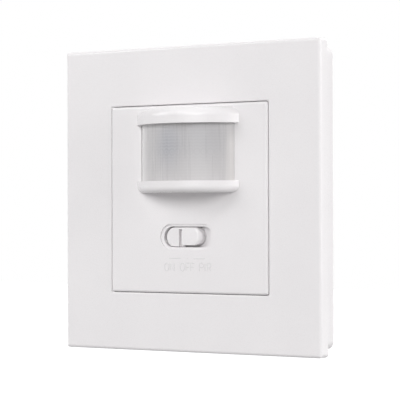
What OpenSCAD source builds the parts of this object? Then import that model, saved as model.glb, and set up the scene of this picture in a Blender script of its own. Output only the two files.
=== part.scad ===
// Flush-mounted motion sensor light switch with a three-position slider.
// X runs to the right and Z up as seen from the room, and the front faces -Y.
// The origin lies on the wall plane, midway between the two box screws.

/* [Cover frame] */
// Outer width and height of the cover frame
frame_w = 80; // [78:0.5:90]
// Depth of the cover frame's outer edge
frame_t = 3.5; // [3:0.1:5]
// Front wall of the cover frame
frame_wall = 2; // [1.6:0.1:2.4]
// Width of the solid rim along the outer edge
frame_rim = 3; // [2.7:0.1:4]
// Rounding of the front outer edge
frame_edge_r = 0.8; // [0.4:0.1:1.2]
// Rounding of the rear outer edge
frame_back_r = 0.3; // [0.2:0.1:1]
// Rounding of the outline's corners
frame_corner_r = 1; // [0.4:0.1:3]
// Wall of the rim around the window
window_rim = 1.3; // [1:0.1:1.6]
// Reach of the window rim behind the plate
window_rim_d = 2; // [1:0.1:2.6]
// Rounding of the window's front edge
window_edge_r = 0.35; // [0.2:0.05:0.6]
// Thickness of the cover frame's stiffening ribs
frame_rib_t = 1.2; // [0.8:0.1:2]
// Distance of the ribs from the middle of each side
frame_rib_pos = 19; // [18:0.5:22]
// Width of the cover frame's snap hooks
frame_hook_w = 8; // [5:0.5:10]
// Thickness of the cover frame's snap hooks
frame_hook_t = 1.4; // [1:0.1:1.8]
// Overhang of the cover frame's snap hooks
frame_hook_barb = 0.7; // [0.4:0.1:1]
// Distance of the snap hooks from the middle of each side
frame_hook_pos = 11; // [10.5:0.1:11.5]

/* [Base frame] */
// Outer width and height of the base frame
skirt_w = 76.6; // [75.6:0.1:77.2]
// Depth of the base frame from the wall to the cover frame
skirt_d = 5.5; // [5.3:0.1:8]
// Wall of the base frame
skirt_wall = 2; // [1.6:0.1:2.2]
// Corner rounding of the base frame
skirt_corner_r = 2; // [1.4:0.1:4]
// Front flange of the base frame
base_flange_t = 1.6; // [1.2:0.1:2]
// Diameter of the driver openings in front of the box screws
box_access_d = 9; // [8:0.1:10]
// Diameter of the screw bosses under the base frame
base_boss_d = 6.6; // [6.2:0.1:7.2]
// Distance of the base screws from the base frame's opening
base_screw_edge = 3.4; // [2.9:0.1:3.9]
// Shank diameter of the base screws
base_screw_d = 2.5; // [2:0.1:3]
// Head diameter of the base screws
base_screw_head_d = 4.6; // [4:0.1:5]
// Head height of the base screws
base_screw_head_h = 1.5; // [1:0.1:1.8]

/* [Centre cover] */
// Width and height of the centre cover
insert_w = 49.1; // [48.6:0.1:49.6]
// Gap between the centre cover and the cover frame
insert_gap = 0.15; // [0.1:0.05:0.6]
// How far the centre cover stands in front of the cover frame
insert_proud = 0.25; // [0:0.05:1]
// Wall of the centre cover
insert_wall = 1.6; // [1.2:0.1:1.8]
// Rounding of the centre cover's front edge
insert_edge_r = 0.6; // [0.3:0.1:1]
// Rounding of the centre cover's corners
insert_corner_r = 0.8; // [0.4:0.1:2]
// Width of the feet under the centre cover's walls
insert_foot_w = 4; // [3:0.5:6]
// Distance of the feet from the middle of each side
insert_foot_pos = 9; // [7:0.5:11]
// Clear height between the walls and the housing flange
insert_foot_h = 1; // [0.5:0.1:1.5]
// Width of the centre cover's snap hooks
insert_hook_w = 4; // [3:0.1:4.2]
// Thickness of the centre cover's snap hooks
insert_hook_t = 1.2; // [1:0.1:1.4]
// Overhang of the centre cover's snap hooks
insert_hook_barb = 0.8; // [0.5:0.1:1]
// Height of the snap hooks above and below the middle
insert_hook_pos = 15; // [14.8:0.1:15.2]

/* [Lens bay] */
// Outer radius of the lens
lens_r = 18.5; // [17.5:0.1:18.8]
// Thickness of the lens
lens_t = 0.6; // [0.4:0.1:1]
// Height of the lens that shows between the lips
lens_h = 14.8; // [12:0.1:15]
// Height of the lens's middle above the switch's middle
lens_z = 12; // [11.5:0.05:12.5]
// Distance of the lens's axis behind the face of the centre cover
lens_axis_d = 11.5; // [11:0.1:12.5]
// Height of the lens that is tucked behind each lip
lens_margin = 1.1; // [0.6:0.1:1.4]
// Reach of the lens behind the face of the centre cover
lens_tail = 3.2; // [2.6:0.1:3.4]
// Number of optical segments across the lens
lens_segments = 19; // [5:1:25]
// Depth of the grooves between the segments
lens_groove_d = 0.2; // [0.1:0.05:0.3]
// Width of the grooves between the segments
lens_groove_w = 0.3; // [0.2:0.1:0.6]
// How far the lips stand in front of the lens
lip_step = 2; // [1.6:0.1:3]
// Width of the lips where they run out into the face
lip_w = 32; // [31.5:0.1:33]
// Height of the upper lip
upper_lip_h = 4.2; // [3.6:0.1:4.6]
// Height of the lower lip
lower_lip_h = 3; // [2.9:0.1:4]
// Rounding of the upper lip
upper_lip_r = 2.3; // [1.5:0.1:3.4]
// Rounding of the lower lip
lower_lip_r = 1.6; // [1:0.1:2.8]
// Wall of the curved frame behind the lens
retainer_t = 1.3; // [1:0.1:2]
// Diameter of the pegs that hold the lens frame
retainer_peg_d = 1.6; // [1.2:0.1:2]
// Height of the lens frame's ears
retainer_ear_h = 5.6; // [4:0.1:5.8]
// Height of the lens frame's pegs above the middle
retainer_peg_z = 9.6; // [9.4:0.1:9.8]

/* [Slider] */
// Height of the slider's middle below the switch's middle
slider_drop = 9.9; // [9:0.1:10.5]
// Travel of the slider over its three positions
slider_travel = 2.6; // [2:0.1:3.2]
// Length of the slider plate
slider_l = 11.5; // [11:0.1:13]
// Height of the slider plate
slider_h = 4.8; // [4.4:0.1:5.2]
// Gap above and below the slider plate
slider_gap = 0.3; // [0.2:0.05:0.6]
// End clearance of the slider plate in its well
slider_end_gap = 0.6; // [0.2:0.05:1.2]
// Depth of the slider well under the face
well_d = 2.1; // [1.8:0.1:2.4]
// Floor of the slider well
well_floor = 1.3; // [1:0.1:1.6]
// Width of the shallow ledge around the well
ledge_w = 0.6; // [0.4:0.1:1.2]
// Width of the ledge at the well's ends
ledge_end_w = 0.95; // [0.4:0.05:1.4]
// Depth of the shallow ledge
ledge_d = 0.3; // [0.2:0.05:0.6]
// Depth of the slider plate under the face
slider_plate_drop = 0.75; // [0.7:0.05:0.9]
// Height of the slider's grip in front of the face
grip_proud = 0.85; // [0.6:0.05:1.5]
// Height of the grip's lower rim in front of the face
grip_rim = 0.25; // [0:0.05:0.4]
// Distance of the grip's flat side from the slider's middle
grip_start = 0.4; // [-0.5:0.1:1]
// How far the grip's crown is set back from its end
grip_crown_back = 1.2; // [0.8:0.1:2.6]
// Width of the groove beside the grip
grip_groove_w = 2.1; // [0.5:0.1:2.4]
// Depth of the groove beside the grip
grip_groove_d = 0.8; // [0.2:0.05:0.8]
// Length of the slider's stem along its travel
stem_l = 3.2; // [3:0.1:3.6]
// Height of the slider's stem
stem_h = 3; // [2.8:0.1:3.2]
// Overhang of the stem's snap ribs behind the floor
stem_barb = 0.4; // [0.2:0.1:0.6]

/* [Slide switch] */
// Length of the switch
switch_l = 11.4; // [11:0.1:12]
// Height of the switch
switch_h = 5.4; // [5.2:0.1:6]
// Depth of the switch in front of the sensor board
switch_d = 4.4; // [4:0.1:5]
// Sheet of the switch's shell
switch_shell_t = 0.4; // [0.3:0.05:0.5]
// Thickness of the switch's insulating base
switch_base_t = 1.2; // [1:0.1:1.4]
// Width of the switch lever
lever_w = 2; // [1.8:0.1:2.2]
// Reach of the lever in front of the switch
lever_reach = 4; // [3.6:0.1:4.6]

/* [Sensors and sensor board] */
// Front of the sensor board behind the wall plane
sensor_board_y = 5.5; // [5.3:0.1:6]
// Thickness of both boards
board_t = 1.6; // [1.2:0.1:1.8]
// Gap around both boards in the housing
board_gap = 0.3; // [0.2:0.05:0.5]
// Diameter of the infrared sensor's can
pir_d = 8.2; // [7.6:0.1:8.6]
// Height of the infrared sensor's can
pir_h = 4.2; // [3.8:0.1:4.6]
// Diameter of the foot flange of the can
pir_flange_d = 9.2; // [9:0.1:9.6]
// Diameter of the photocell
photocell_d = 5.1; // [4.6:0.1:5.6]
// Stand-off of the photocell from the board
photocell_standoff = 2.5; // [1.5:0.1:3.5]
// Diameter of the trimmers
trimmer_d = 7; // [6.6:0.1:7.4]
// Height of the trimmer bodies
trimmer_h = 2.4; // [2:0.1:3]
// Diameter of the trimmer rotors
rotor_d = 4.8; // [4.4:0.1:5.4]
// Shaft diameter of the trimmer rotors
rotor_shaft_d = 2; // [1.8:0.1:2.4]
// Radial play of shafts and pins in their bores
running_gap = 0.05; // [0.02:0.01:0.08]

/* [Power board] */
// Front of the power board behind the wall plane
power_board_y = 11; // [10.6:0.1:11.2]
// Length of the relay
relay_l = 18.4; // [17.4:0.1:19]
// Height of the relay
relay_h = 10.8; // [10.2:0.1:11]
// Gap between the relay and the housing's floor
relay_floor_gap = 1.1; // [0.8:0.1:2.1]
// Diameter of the electrolytic capacitor
elcap_d = 8; // [7.4:0.1:8.4]
// Diameter of the fuse
fuse_d = 6.4; // [6:0.1:7]
// Diameter of the varistor disc
varistor_d = 8; // [7:0.1:8.6]
// Diameter of the wire leads
lead_d = 0.6; // [0.5:0.05:0.8]
// Play of the leads in the board holes
lead_gap = 0.15; // [0.1:0.05:0.25]

/* [Terminals] */
// Distance between neighbouring terminals
terminal_pitch = 7; // [6.8:0.1:7.2]
// Height of the terminal block
terminal_h = 10.5; // [10.3:0.1:10.8]
// Diameter of the wire entries
wire_d = 3.2; // [2.8:0.1:3.4]
// Distance between a wire entry and its clamp screw
clamp_screw_pitch = 4.1; // [4:0.1:4.4]
// Head diameter of the clamp screws
clamp_head_d = 3.8; // [3.4:0.1:4]
// Shank diameter of the clamp screws
clamp_screw_d = 2.9; // [2.5:0.1:3]
// Depth of the terminal block behind the housing's inner floor
terminal_out = 1; // [0.6:0.1:1.4]

/* [Rear housing] */
// Width and height of the rear housing
housing_w = 43; // [42.6:0.1:43.4]
// Diameter of the round wall box space that the housing fits
housing_round_d = 56; // [55.6:0.1:57]
// Wall of the rear housing
housing_wall = 1.8; // [1.6:0.1:2]
// Reach of the rear housing behind the wall plane
housing_depth = 26; // [25.6:0.1:28]
// Rounding of the rear housing's back edge
housing_edge_r = 1.6; // [1:0.1:1.7]
// Thickness of the flange on the mounting strap
flange_t = 2; // [1.8:0.1:2.4]
// Inset of the flange's edge from the centre cover's outline
flange_inset = 0.35; // [0.2:0.05:0.5]
// Diameter of the board posts
post_d = 4.6; // [4.4:0.1:5]
// Distance of the board screws from the housing's inner walls
post_inset = 4.5; // [4.4:0.05:4.6]
// Shank diameter of the board screws
board_screw_d = 2.2; // [2:0.1:2.5]
// Head diameter of the board screws
board_screw_head_d = 4.2; // [3.8:0.1:4.4]
// Head height of the board screws
board_screw_head_h = 1.6; // [1.2:0.1:1.8]
// Distance of the housing screws from the centre lines
housing_screw_pos = 21.7; // [21.5:0.1:21.8]
// Shank diameter of the housing screws
housing_screw_d = 2.2; // [2:0.1:2.4]
// Head diameter of the housing screws
housing_screw_head_d = 4; // [3.6:0.1:4.2]

/* [Mounting strap] */
// Sheet of the mounting strap
strap_t = 1.2; // [1:0.1:1.4]
// Width and height of the mounting strap
strap_w = 70; // [69:0.1:70.6]
// Corner rounding of the mounting strap
strap_corner_r = 4; // [3:0.1:6]
// Distance between the two box screws
box_screw_pitch = 60; // [59.5:0.1:60.5]
// Width of the box screw slots
box_slot_w = 4.2; // [3.8:0.1:4.6]
// Length of the box screw slots
box_slot_l = 6.2; // [5.6:0.1:7]
// Gap between the strap and the housing that passes through it
strap_gap = 0.3; // [0.2:0.05:0.4]
// Width of the notches in the strap's sides
strap_notch_w = 12; // [8:0.5:16]
// Depth of the notches in the strap's sides
strap_notch_d = 2; // [1:0.1:3]

/* [Spreading claws] */
// Distance of the claw screws from the housing's side
claw_screw_out = 2.7; // [2.6:0.05:2.9]
// Shank diameter of the claw screws
claw_screw_d = 2.8; // [2.6:0.1:3]
// Head diameter of the claw screws
claw_head_d = 5; // [4.6:0.1:5.2]
// Head height of the claw screws
claw_head_h = 1.8; // [1.4:0.1:1.9]
// Distance between a claw screw and its claw's pivot
claw_lever = 3.2; // [3.1:0.05:3.4]
// Distance of the claw pivots behind the wall plane
claw_pivot_y = 3.4; // [3.2:0.1:4]
// Diameter of the claw pins
claw_pin_d = 2; // [1.6:0.1:2.2]
// Width of the claws
claw_w = 8; // [7:0.1:9]
// Sheet of the claws
claw_t = 1.4; // [1.2:0.1:1.6]
// Length of the claws from the pivot to the tip
claw_l = 17; // [14:0.1:20]
// Inward lean of the claws before they are spread
claw_lean = 12; // [8:0.5:14]
// Height of the claws' teeth
claw_tooth = 1.2; // [0.8:0.1:1.6]
// Number of teeth on each claw
claw_teeth = 3; // [2:1:5]
// Wall of the claw's eye and of the strap's ears around the pin
claw_eye = 0.9; // [0.8:0.05:1]

/* [Hidden] */
$fn = 64;

// Colours of the moulded, metal and electric pieces
white_plastic = "#e8e6e5";
milky_lens = "#c6c8cb";
inner_plastic = "#d9d7d2";
steel = "#b9bcc0";
brass = "#c8a24a";
board_green = "#2f6b45";
dark_plastic = "#2b2c2f";
block_plastic = "#3f4347";
phenolic_brown = "#6b4a2f";
filter_grey = "#4a4a55";
cell_tan = "#c9b27a";
trimmer_blue = "#3c6fa8";
relay_blue = "#2d5fa0";
film_yellow = "#d8b23a";
sleeve_blue = "#33415c";
varistor_teal = "#2f7a8c";
fuse_brown = "#57331f";

// Reach of a cut past the face that it opens
over = 1;
// Clearance between pieces that are put together and stay put
seat_gap = 0.1;
// Clearance of a screw's shank in a hole
screw_gap = 0.1;
// Share of a head's diameter that its cross slot takes
cross_share = 0.7;

// Depths along Y, from the room to the wall and into the wall box
plate_back_y = -skirt_d;
front_y = plate_back_y - frame_t;
face_y = front_y - insert_proud;
face_back_y = face_y + insert_wall;
base_flange_back_y = plate_back_y + base_flange_t;
strap_front_y = -strap_t;
flange_front_y = strap_front_y - flange_t;
insert_back_y = flange_front_y - insert_foot_h;
sensor_board_back_y = sensor_board_y + board_t;
power_board_back_y = power_board_y + board_t;
housing_floor_y = housing_depth - housing_wall;

// Free depth for the components behind the power board
component_depth = housing_floor_y - power_board_back_y;

// Outlines
window_w = insert_w + 2 * insert_gap;
window_rim_w = window_w + 2 * window_rim;
frame_hollow_w = frame_w - 2 * frame_rim;
skirt_inner_w = skirt_w - 2 * skirt_wall;
skirt_inner_r = max(skirt_corner_r - skirt_wall, seat_gap);
flange_w = insert_w - 2 * flange_inset;
housing_inner_w = housing_w - 2 * housing_wall;
housing_inner_d = housing_round_d - 2 * housing_wall;
board_w = housing_inner_w - 2 * board_gap;
board_round_d = housing_inner_d - 2 * board_gap;
post_round_pos = (housing_inner_d / 2 - post_inset) / sqrt(2);
post_pos = min(housing_inner_w / 2 - post_inset, post_round_pos);

// Spreading claws
claw_screw_x = housing_w / 2 + claw_screw_out;
claw_pivot_x = claw_screw_x + claw_lever;
claw_eye_r = claw_pin_d / 2 + running_gap + claw_eye;
claw_foot_front_y = claw_pivot_y - claw_t / 2;
claw_screw_tip_y = claw_foot_front_y - seat_gap;
claw_foot_l = claw_lever + claw_screw_d / 2;
ear_t = strap_t;
ear_gap = 0.2;
ear_z = claw_w / 2 + ear_gap;
claw_head_gap = 0.5;

// The base frame opens around the window rim and the claw screws
base_open_gap = 0.4;
base_open_w = max(window_rim_w, 2 * claw_screw_x + claw_head_d) + 2 * base_open_gap;
base_land = (skirt_inner_w - base_open_w) / 2;
frame_hook_x = base_open_w / 2 + base_land / 2 - frame_hook_t;
frame_hook_reach = 1.4;
base_head_y = plate_back_y + base_screw_head_h + seat_gap;
base_screw_pos = base_open_w / 2 + base_screw_edge;

// Lens bay
bay_axis_y = face_y + lens_axis_d;
lens_clear = 0.1;
lip_reach = lens_r - lens_axis_d + lip_step;
lip_r = (pow(lip_w / 2, 2) + pow(lip_reach, 2)) / (2 * lip_reach);
lip_axis_y = face_y - lip_reach + lip_r;
bay_reach = lip_reach + over;
lens_bottom_z = lens_z - lens_h / 2;
lens_top_z = lens_z + lens_h / 2;
lip_bottom_z = lens_bottom_z - lower_lip_h;
lip_top_z = lens_top_z + upper_lip_h;
lip_roof_t = 1.3;
retainer_r = lens_r - lens_t - lens_clear;
retainer_back_y = face_y + lens_tail + 2 * lens_clear;
retainer_ear_t = 1.2;
retainer_ear_edge = 0.8;
retainer_peg_out = 1;
retainer_peg_x = lip_w / 2 + retainer_peg_d / 2 + retainer_peg_out;

// Depths at which the centre cover's hooks catch and end in the housing's windows
hook_catch_y = 1.6;
hook_barb_d = 1.8;
hook_tip_y = hook_catch_y + hook_barb_d;
hook_window_d = 2.2;

// Slider, well and switch
slider_z = -slider_drop;
well_l = slider_l + slider_travel + 2 * slider_end_gap;
well_h = slider_h + 2 * slider_gap;
well_floor_y = face_y + well_d;
well_back_y = well_floor_y + well_floor;
well_wall = 1.2;
slider_x = -slider_travel / 2;
slider_float = 0.08;
slider_plate_y = face_y + slider_plate_drop;
slider_flange_w = slider_gap - slider_float;
slider_flange_drop = 0.4;
stem_slot_gap = 0.25;
switch_front_y = sensor_board_y - switch_d;
lever_tip_y = switch_front_y - lever_reach;
lever_gap = 0.05;
lever_overlap = 2;
lever_block_l = 2 * lever_w;
lever_block_d = 1.6;
stem_back_y = lever_tip_y + lever_overlap;
switch_inner_l = switch_l - 2 * switch_shell_t;
switch_inner_h = switch_h - 2 * switch_shell_t;

// Smallest gap between neighbouring components
component_gap = 0.4;

// Places on the sensor board as [x, z]
chip_l = 9.9;
chip_w = 3.9;
trimmer_edge = 2.9;
trimmer_drop = 5.5;
header_pins = 6;
header_spacing = 2.54;
header_edge = 2.1;
board_head_x = post_pos - board_screw_head_d / 2;
trimmer_x = board_w / 2 - trimmer_d / 2 - trimmer_edge;
header_z = board_w / 2 - header_edge;
pir_at = [0, lens_z];
photocell_at = [(pir_flange_d / 2 + board_head_x) / 2, lens_z];
chip_at = [-(pir_flange_d + board_w) / 4, board_head_x - component_gap - chip_l / 2];
time_trimmer_at = [-trimmer_x, -trimmer_drop];
light_trimmer_at = [trimmer_x, -trimmer_drop];
switch_at = [0, slider_z];

// Terminals along the lower wall of the housing
terminal_count = 3;
terminal_edge = 1.1;
clamp_pocket_d = 6.6;
clamp_seat_t = 1.6;
clamp_wall = 0.8;
terminal_l = terminal_count * terminal_pitch;
terminal_z = terminal_edge + (terminal_h - housing_inner_w) / 2;
terminal_top_z = terminal_z + terminal_h / 2;
terminal_back_y = housing_floor_y + terminal_out;
wire_z = terminal_z - clamp_screw_pitch / 2;
clamp_screw_z = terminal_z + clamp_screw_pitch / 2;
clamp_pocket_back_y = power_board_back_y + clamp_pocket_d;
clamp_seat_y = clamp_pocket_back_y + clamp_seat_t;
clamp_w = terminal_pitch - 2 * clamp_wall;
clamp_h = terminal_h - 2 * clamp_wall;
terminal_xs = [for (i = [0 : terminal_count - 1]) (i - (terminal_count - 1) / 2) * terminal_pitch];

// Places on the power board as [x, z], from its left and right edges and from the terminals
relay_edge = 1.6;
relay_post_gap = 0.9;
film_cap_l = 18;
film_cap_w = 4.4;
film_cap_edge = 2.2;
varistor_edge = 4;
diode_count = 3;
diode_spacing = 2.9;
diode_span = 5.1;
diode_body_d = 1.9;
diode_body_l = 3.9;
diode_edge = 0.8;
wall_x = housing_inner_w / 2;
relay_top_z = post_pos - post_d / 2 - relay_post_gap;
relay_at = [relay_edge + relay_l / 2 - wall_x, relay_top_z - relay_h / 2];
film_cap_at = [film_cap_edge + film_cap_l / 2 - wall_x, (terminal_top_z + relay_top_z - relay_h) / 2];
elcap_at = [relay_at[0] + (relay_l + elcap_d) / 2 + component_gap, relay_top_z - elcap_d / 2];
fuse_at = [
  film_cap_at[0] + (film_cap_l + fuse_d) / 2 + 2 * component_gap,
  terminal_top_z + fuse_d / 2 + 2 * component_gap
];
varistor_at = [board_w / 2 - varistor_edge, (varistor_d + post_d) / 2 + component_gap - post_pos];
diode_x = board_w / 2 - diode_edge - diode_span / 2;
diode_rows = [for (i = [0 : diode_count - 1]) relay_top_z - diode_body_d / 2 - i * diode_spacing];

// Distances between the leads of each wired component
pir_lead_r = 2.54;
pir_lead_turns = [180, 270, 360];
photocell_lead_pitch = 3.4;
trimmer_lead_pos = 2.5;
switch_pin_pitch = 2.5;
switch_pin_steps = [-1.5, -0.5, 0.5, 1.5];
relay_lead_xs = [-7.6, 2.6, 7.6];
relay_lead_zs = [-3.8, 3.8];
film_cap_lead_pitch = 15;
elcap_lead_pitch = 3.5;
fuse_lead_pitch = 5;
varistor_lead_pitch = 5;

// Lead places of each wired component
function pair(at, pitch) = [at - [pitch / 2, 0], at + [pitch / 2, 0]];
function trimmer_leads(at) =
  [for (step = [[-1, -1], [1, -1], [0, 1]]) at + trimmer_lead_pos * step];
pir_leads = [for (turn = pir_lead_turns) pir_at + pir_lead_r * [cos(turn), sin(turn)]];
photocell_leads = pair(photocell_at, photocell_lead_pitch);
switch_pins = [for (step = switch_pin_steps) switch_at + [step * switch_pin_pitch, 0]];
header_places = [for (i = [0 : header_pins - 1]) [(i - (header_pins - 1) / 2) * header_spacing, header_z]];
relay_leads = [for (x = relay_lead_xs) for (z = relay_lead_zs) relay_at + [x, z]];
film_cap_leads = pair(film_cap_at, film_cap_lead_pitch);
elcap_leads = pair(elcap_at, elcap_lead_pitch);
fuse_leads = pair(fuse_at, fuse_lead_pitch);
varistor_leads = [for (side = [-1, 1]) varistor_at + [0, side * varistor_lead_pitch / 2]];
diode_leads = [for (z = diode_rows) for (side = [-1, 1]) [diode_x + side * diode_span / 2, z]];
terminal_pins = [for (x = terminal_xs) [x, terminal_z]];
post_places = [for (x = [-post_pos, post_pos]) for (z = [-post_pos, post_pos]) [x, z]];
box_screw_places = [for (z = [-1, 1]) [0, z * box_screw_pitch / 2]];
base_screw_places = [for (x = [-1, 1]) for (z = [-1, 1]) base_screw_pos * [x, z]];
housing_screw_places = [for (x = [-1, 1]) for (z = [-1, 1]) housing_screw_pos * [x, z]];
sensor_leads = concat(pir_leads, photocell_leads, trimmer_leads(time_trimmer_at),
  trimmer_leads(light_trimmer_at), switch_pins, header_places);
power_leads = concat(relay_leads, film_cap_leads, elcap_leads, fuse_leads, varistor_leads,
  diode_leads, header_places);
terminal_pin_d = 1.2;
lead_tail = 1.2;

// Extrudes an outline drawn in X and Z from depth y0 to depth y1
module deep(y0, y1) {
  translate([0, y1, 0])
    rotate([90, 0, 0])
      linear_extrude(height = y1 - y0)
        children();
}

// Round rod along Y at place [x, z]
module rod(at, d, y0, y1) {
  translate([at[0], y1, at[1]])
    rotate([90, 0, 0])
      cylinder(h = y1 - y0, d = d);
}

// Block along Y around place [x, z]
module slab(at, l, h, y0, y1) {
  deep(y0, y1)
    translate(at)
      square([l, h], center = true);
}

// Puts the same feature on all four sides
module four_sides() {
  for (turn = [0 : 90 : 270])
    rotate([0, turn, 0])
      children();
}

// Rectangle with round corners
module rounded(w, h, r) {
  square([w - 2 * r, h], center = true);
  square([w, h - 2 * r], center = true);
  for (x = [-1, 1])
    for (z = [-1, 1])
      translate([x * (w / 2 - r), z * (h / 2 - r)])
        circle(r);
}

// Slot outline with half-round ends
module stadium(l, h) {
  square([l - h, h], center = true);
  for (side = [-1, 1])
    translate([side * (l - h) / 2, 0])
      circle(d = h);
}

// Section of a plate with rounded front and rear edges, its front at y = 0
module edge_section(w, d, r_front, r_back) {
  translate([-w / 2, r_front])
    square([w, d - r_front - r_back]);
  translate([r_front - w / 2, 0])
    square([w - 2 * r_front, r_front + over / 10]);
  translate([r_back - w / 2, d - r_back - over / 10])
    square([w - 2 * r_back, r_back + over / 10]);
  for (side = [-1, 1]) {
    translate([side * (w / 2 - r_front), r_front])
      circle(r_front);
    translate([side * (w / 2 - r_back), d - r_back])
      circle(r_back);
  }
}

// Square plate between two depths with soft edges and corners
module soft_plate(w, y0, y1, r_front, r_back, r_corner) {
  intersection() {
    deep(y0, y1)
      rounded(w, w, r_corner);
    translate([0, y0, 0])
      linear_extrude(height = w + over, center = true)
        edge_section(w, y1 - y0, r_front, r_back);
    rotate([0, 90, 0])
      translate([0, y0, 0])
        linear_extrude(height = w + over, center = true)
          edge_section(w, y1 - y0, r_front, r_back);
  }
}

// Section of the flare that softens a window's front edge
module flare_section(w, r) {
  difference() {
    translate([-w / 2 - r, -over])
      square([w + 2 * r, r + over]);
    for (side = [-1, 1])
      translate([side * (w / 2 + r), r])
        circle(r);
  }
}

// Square window through a plate whose front is at y0
module soft_window(w, y0, y1, r_edge, r_corner) {
  deep(y0 - over, y1)
    rounded(w, w, r_corner);
  intersection() {
    translate([0, y0, 0])
      linear_extrude(height = w + 2 * r_edge, center = true)
        flare_section(w, r_edge);
    rotate([0, 90, 0])
      translate([0, y0, 0])
        linear_extrude(height = w + 2 * r_edge, center = true)
          flare_section(w, r_edge);
  }
}

// Snap hook along Y with its outer face at x, catching at depth catch_y
module hook(x, w, t, barb, start_y, catch_y, tip_y) {
  translate([x, 0, 0])
    linear_extrude(height = w, center = true)
      polygon([
        [-t, start_y], [0, start_y], [0, catch_y], [barb, catch_y],
        [barb, catch_y + barb / 2], [0, tip_y], [-t, tip_y]
      ]);
}

// Wire leads through a board, from depth y0 to depth y1
module leads(places, d, y0, y1) {
  for (at = places)
    rod(at, d, y0, y1);
}

// Cross slot of width w in a head of diameter d, from its front at y0 down to y1
module cross_slot(at, d, w, y0, y1) {
  slab(at, cross_share * d, w, y0 - over, y1);
  slab(at, w, cross_share * d, y0 - over, y1);
}

// Screw with a slotted head in front of depth seat_y
module screw(at, d, head_d, head_h, seat_y, tip_y, slot_w) {
  difference() {
    union() {
      rod(at, d, seat_y - head_h / 2, tip_y);
      rod(at, head_d, seat_y - head_h, seat_y);
    }
    slab(at, head_d + over, slot_w, seat_y - head_h - over, seat_y - head_h / 2);
  }
}

// Cover frame: plate with a rim, a window collar, ribs and two snap hooks on each side
module cover_frame() {
  color(white_plastic) {
    difference() {
      union() {
        soft_plate(frame_w, front_y, plate_back_y, frame_edge_r, frame_back_r, frame_corner_r);
        deep(front_y + frame_wall / 2, plate_back_y + window_rim_d)
          rounded(window_rim_w, window_rim_w, insert_corner_r + window_rim);
      }
      deep(front_y + frame_wall, plate_back_y + over)
        difference() {
          square(frame_hollow_w, center = true);
          rounded(window_rim_w, window_rim_w, insert_corner_r + window_rim);
        }
      soft_window(window_w, front_y, plate_back_y + window_rim_d + over, window_edge_r, insert_corner_r);
    }
    four_sides() {
      for (side = [-1, 1]) {
        slab([(frame_hollow_w + window_rim_w) / 4, side * frame_rib_pos],
          (frame_hollow_w - window_rim_w) / 2 + seat_gap, frame_rib_t,
          front_y + frame_wall / 2, plate_back_y);
        translate([0, 0, side * frame_hook_pos])
          hook(frame_hook_x + frame_hook_t, frame_hook_w, frame_hook_t, frame_hook_barb,
            front_y + frame_wall / 2, base_flange_back_y + seat_gap,
            base_flange_back_y + frame_hook_reach);
      }
    }
  }
}

// Base frame: skirt against the wall, front flange, four screw bosses on the strap
// and openings for the hooks and for the driver of the box screws
module base_frame() {
  color(white_plastic)
    difference() {
      union() {
        difference() {
          deep(plate_back_y, 0)
            rounded(skirt_w, skirt_w, skirt_corner_r);
          deep(base_flange_back_y, over)
            rounded(skirt_inner_w, skirt_inner_w, skirt_inner_r);
        }
        for (at = base_screw_places)
          rod(at, base_boss_d, base_flange_back_y - base_flange_t / 2, strap_front_y);
      }
      slab([0, 0], base_open_w, base_open_w, plate_back_y - over, over);
      four_sides()
        for (side = [-1, 1])
          slab([frame_hook_x + frame_hook_t / 2 + frame_hook_barb / 2, side * frame_hook_pos],
            frame_hook_t + frame_hook_barb + 2 * seat_gap, frame_hook_w + 4 * seat_gap,
            plate_back_y - over, over);
      leads(box_screw_places, box_access_d, plate_back_y - over, over);
      for (at = base_screw_places) {
        rod(at, base_screw_d + 2 * screw_gap, plate_back_y - over, over);
        rod(at, base_screw_head_d + 4 * screw_gap, plate_back_y - over, base_head_y);
      }
    }
}

// Base screws: hold the base frame on the mounting strap
module base_screws() {
  color(steel)
    for (at = base_screw_places)
      screw(at, base_screw_d, base_screw_head_d, base_screw_head_h, base_head_y, 0, base_screw_d / 4);
}

// Section of the two lips, swept about the lens's axis
module lip_section() {
  translate([0, lip_bottom_z + lower_lip_r])
    square([lip_r, lip_top_z - upper_lip_r - lip_bottom_z - lower_lip_r]);
  translate([0, lip_bottom_z])
    square([lip_r - lower_lip_r, lower_lip_r + over / 10]);
  translate([0, lip_top_z - upper_lip_r - over / 10])
    square([lip_r - upper_lip_r, upper_lip_r + over / 10]);
  translate([lip_r - lower_lip_r, lip_bottom_z + lower_lip_r])
    circle(lower_lip_r);
  translate([lip_r - upper_lip_r, lip_top_z - upper_lip_r])
    circle(upper_lip_r);
}

// Sweeps a section drawn in radius and height about an upright axis at depth axis_y
module about_upright(axis_y) {
  translate([0, axis_y, 0])
    rotate_extrude($fn = 180)
      children();
}

// Band about the lens's axis between two radii and two heights
module lens_band(r0, r1, z0, z1) {
  about_upright(bay_axis_y)
    translate([r0, z0])
      square([r1 - r0, z1 - z0]);
}

// Outer form of the bay, in front of the centre cover's rear face
module bay_form() {
  intersection() {
    about_upright(lip_axis_y)
      lip_section();
    slab([0, lens_z], 2 * lip_r, 2 * lip_r, face_y - bay_reach, face_back_y);
  }
}

// Hollow of the bay: the lens's seat, the space inside the lips and the view between them
module bay_hollow() {
  seat_h = lens_margin + lens_clear;
  intersection() {
    union() {
      lens_band(0, lens_r + lens_clear, lens_bottom_z - seat_h, lens_top_z + seat_h);
      lens_band(0, lens_r - lip_step, lip_bottom_z + lip_roof_t, lip_top_z - lip_roof_t);
    }
    slab([0, lens_z], 2 * lens_r + over, lip_top_z - lip_bottom_z, face_y - bay_reach,
      face_back_y + over / 2);
  }
  slab([0, lens_z], lip_w + over, lens_h, face_y - bay_reach, face_y);
}

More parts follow.
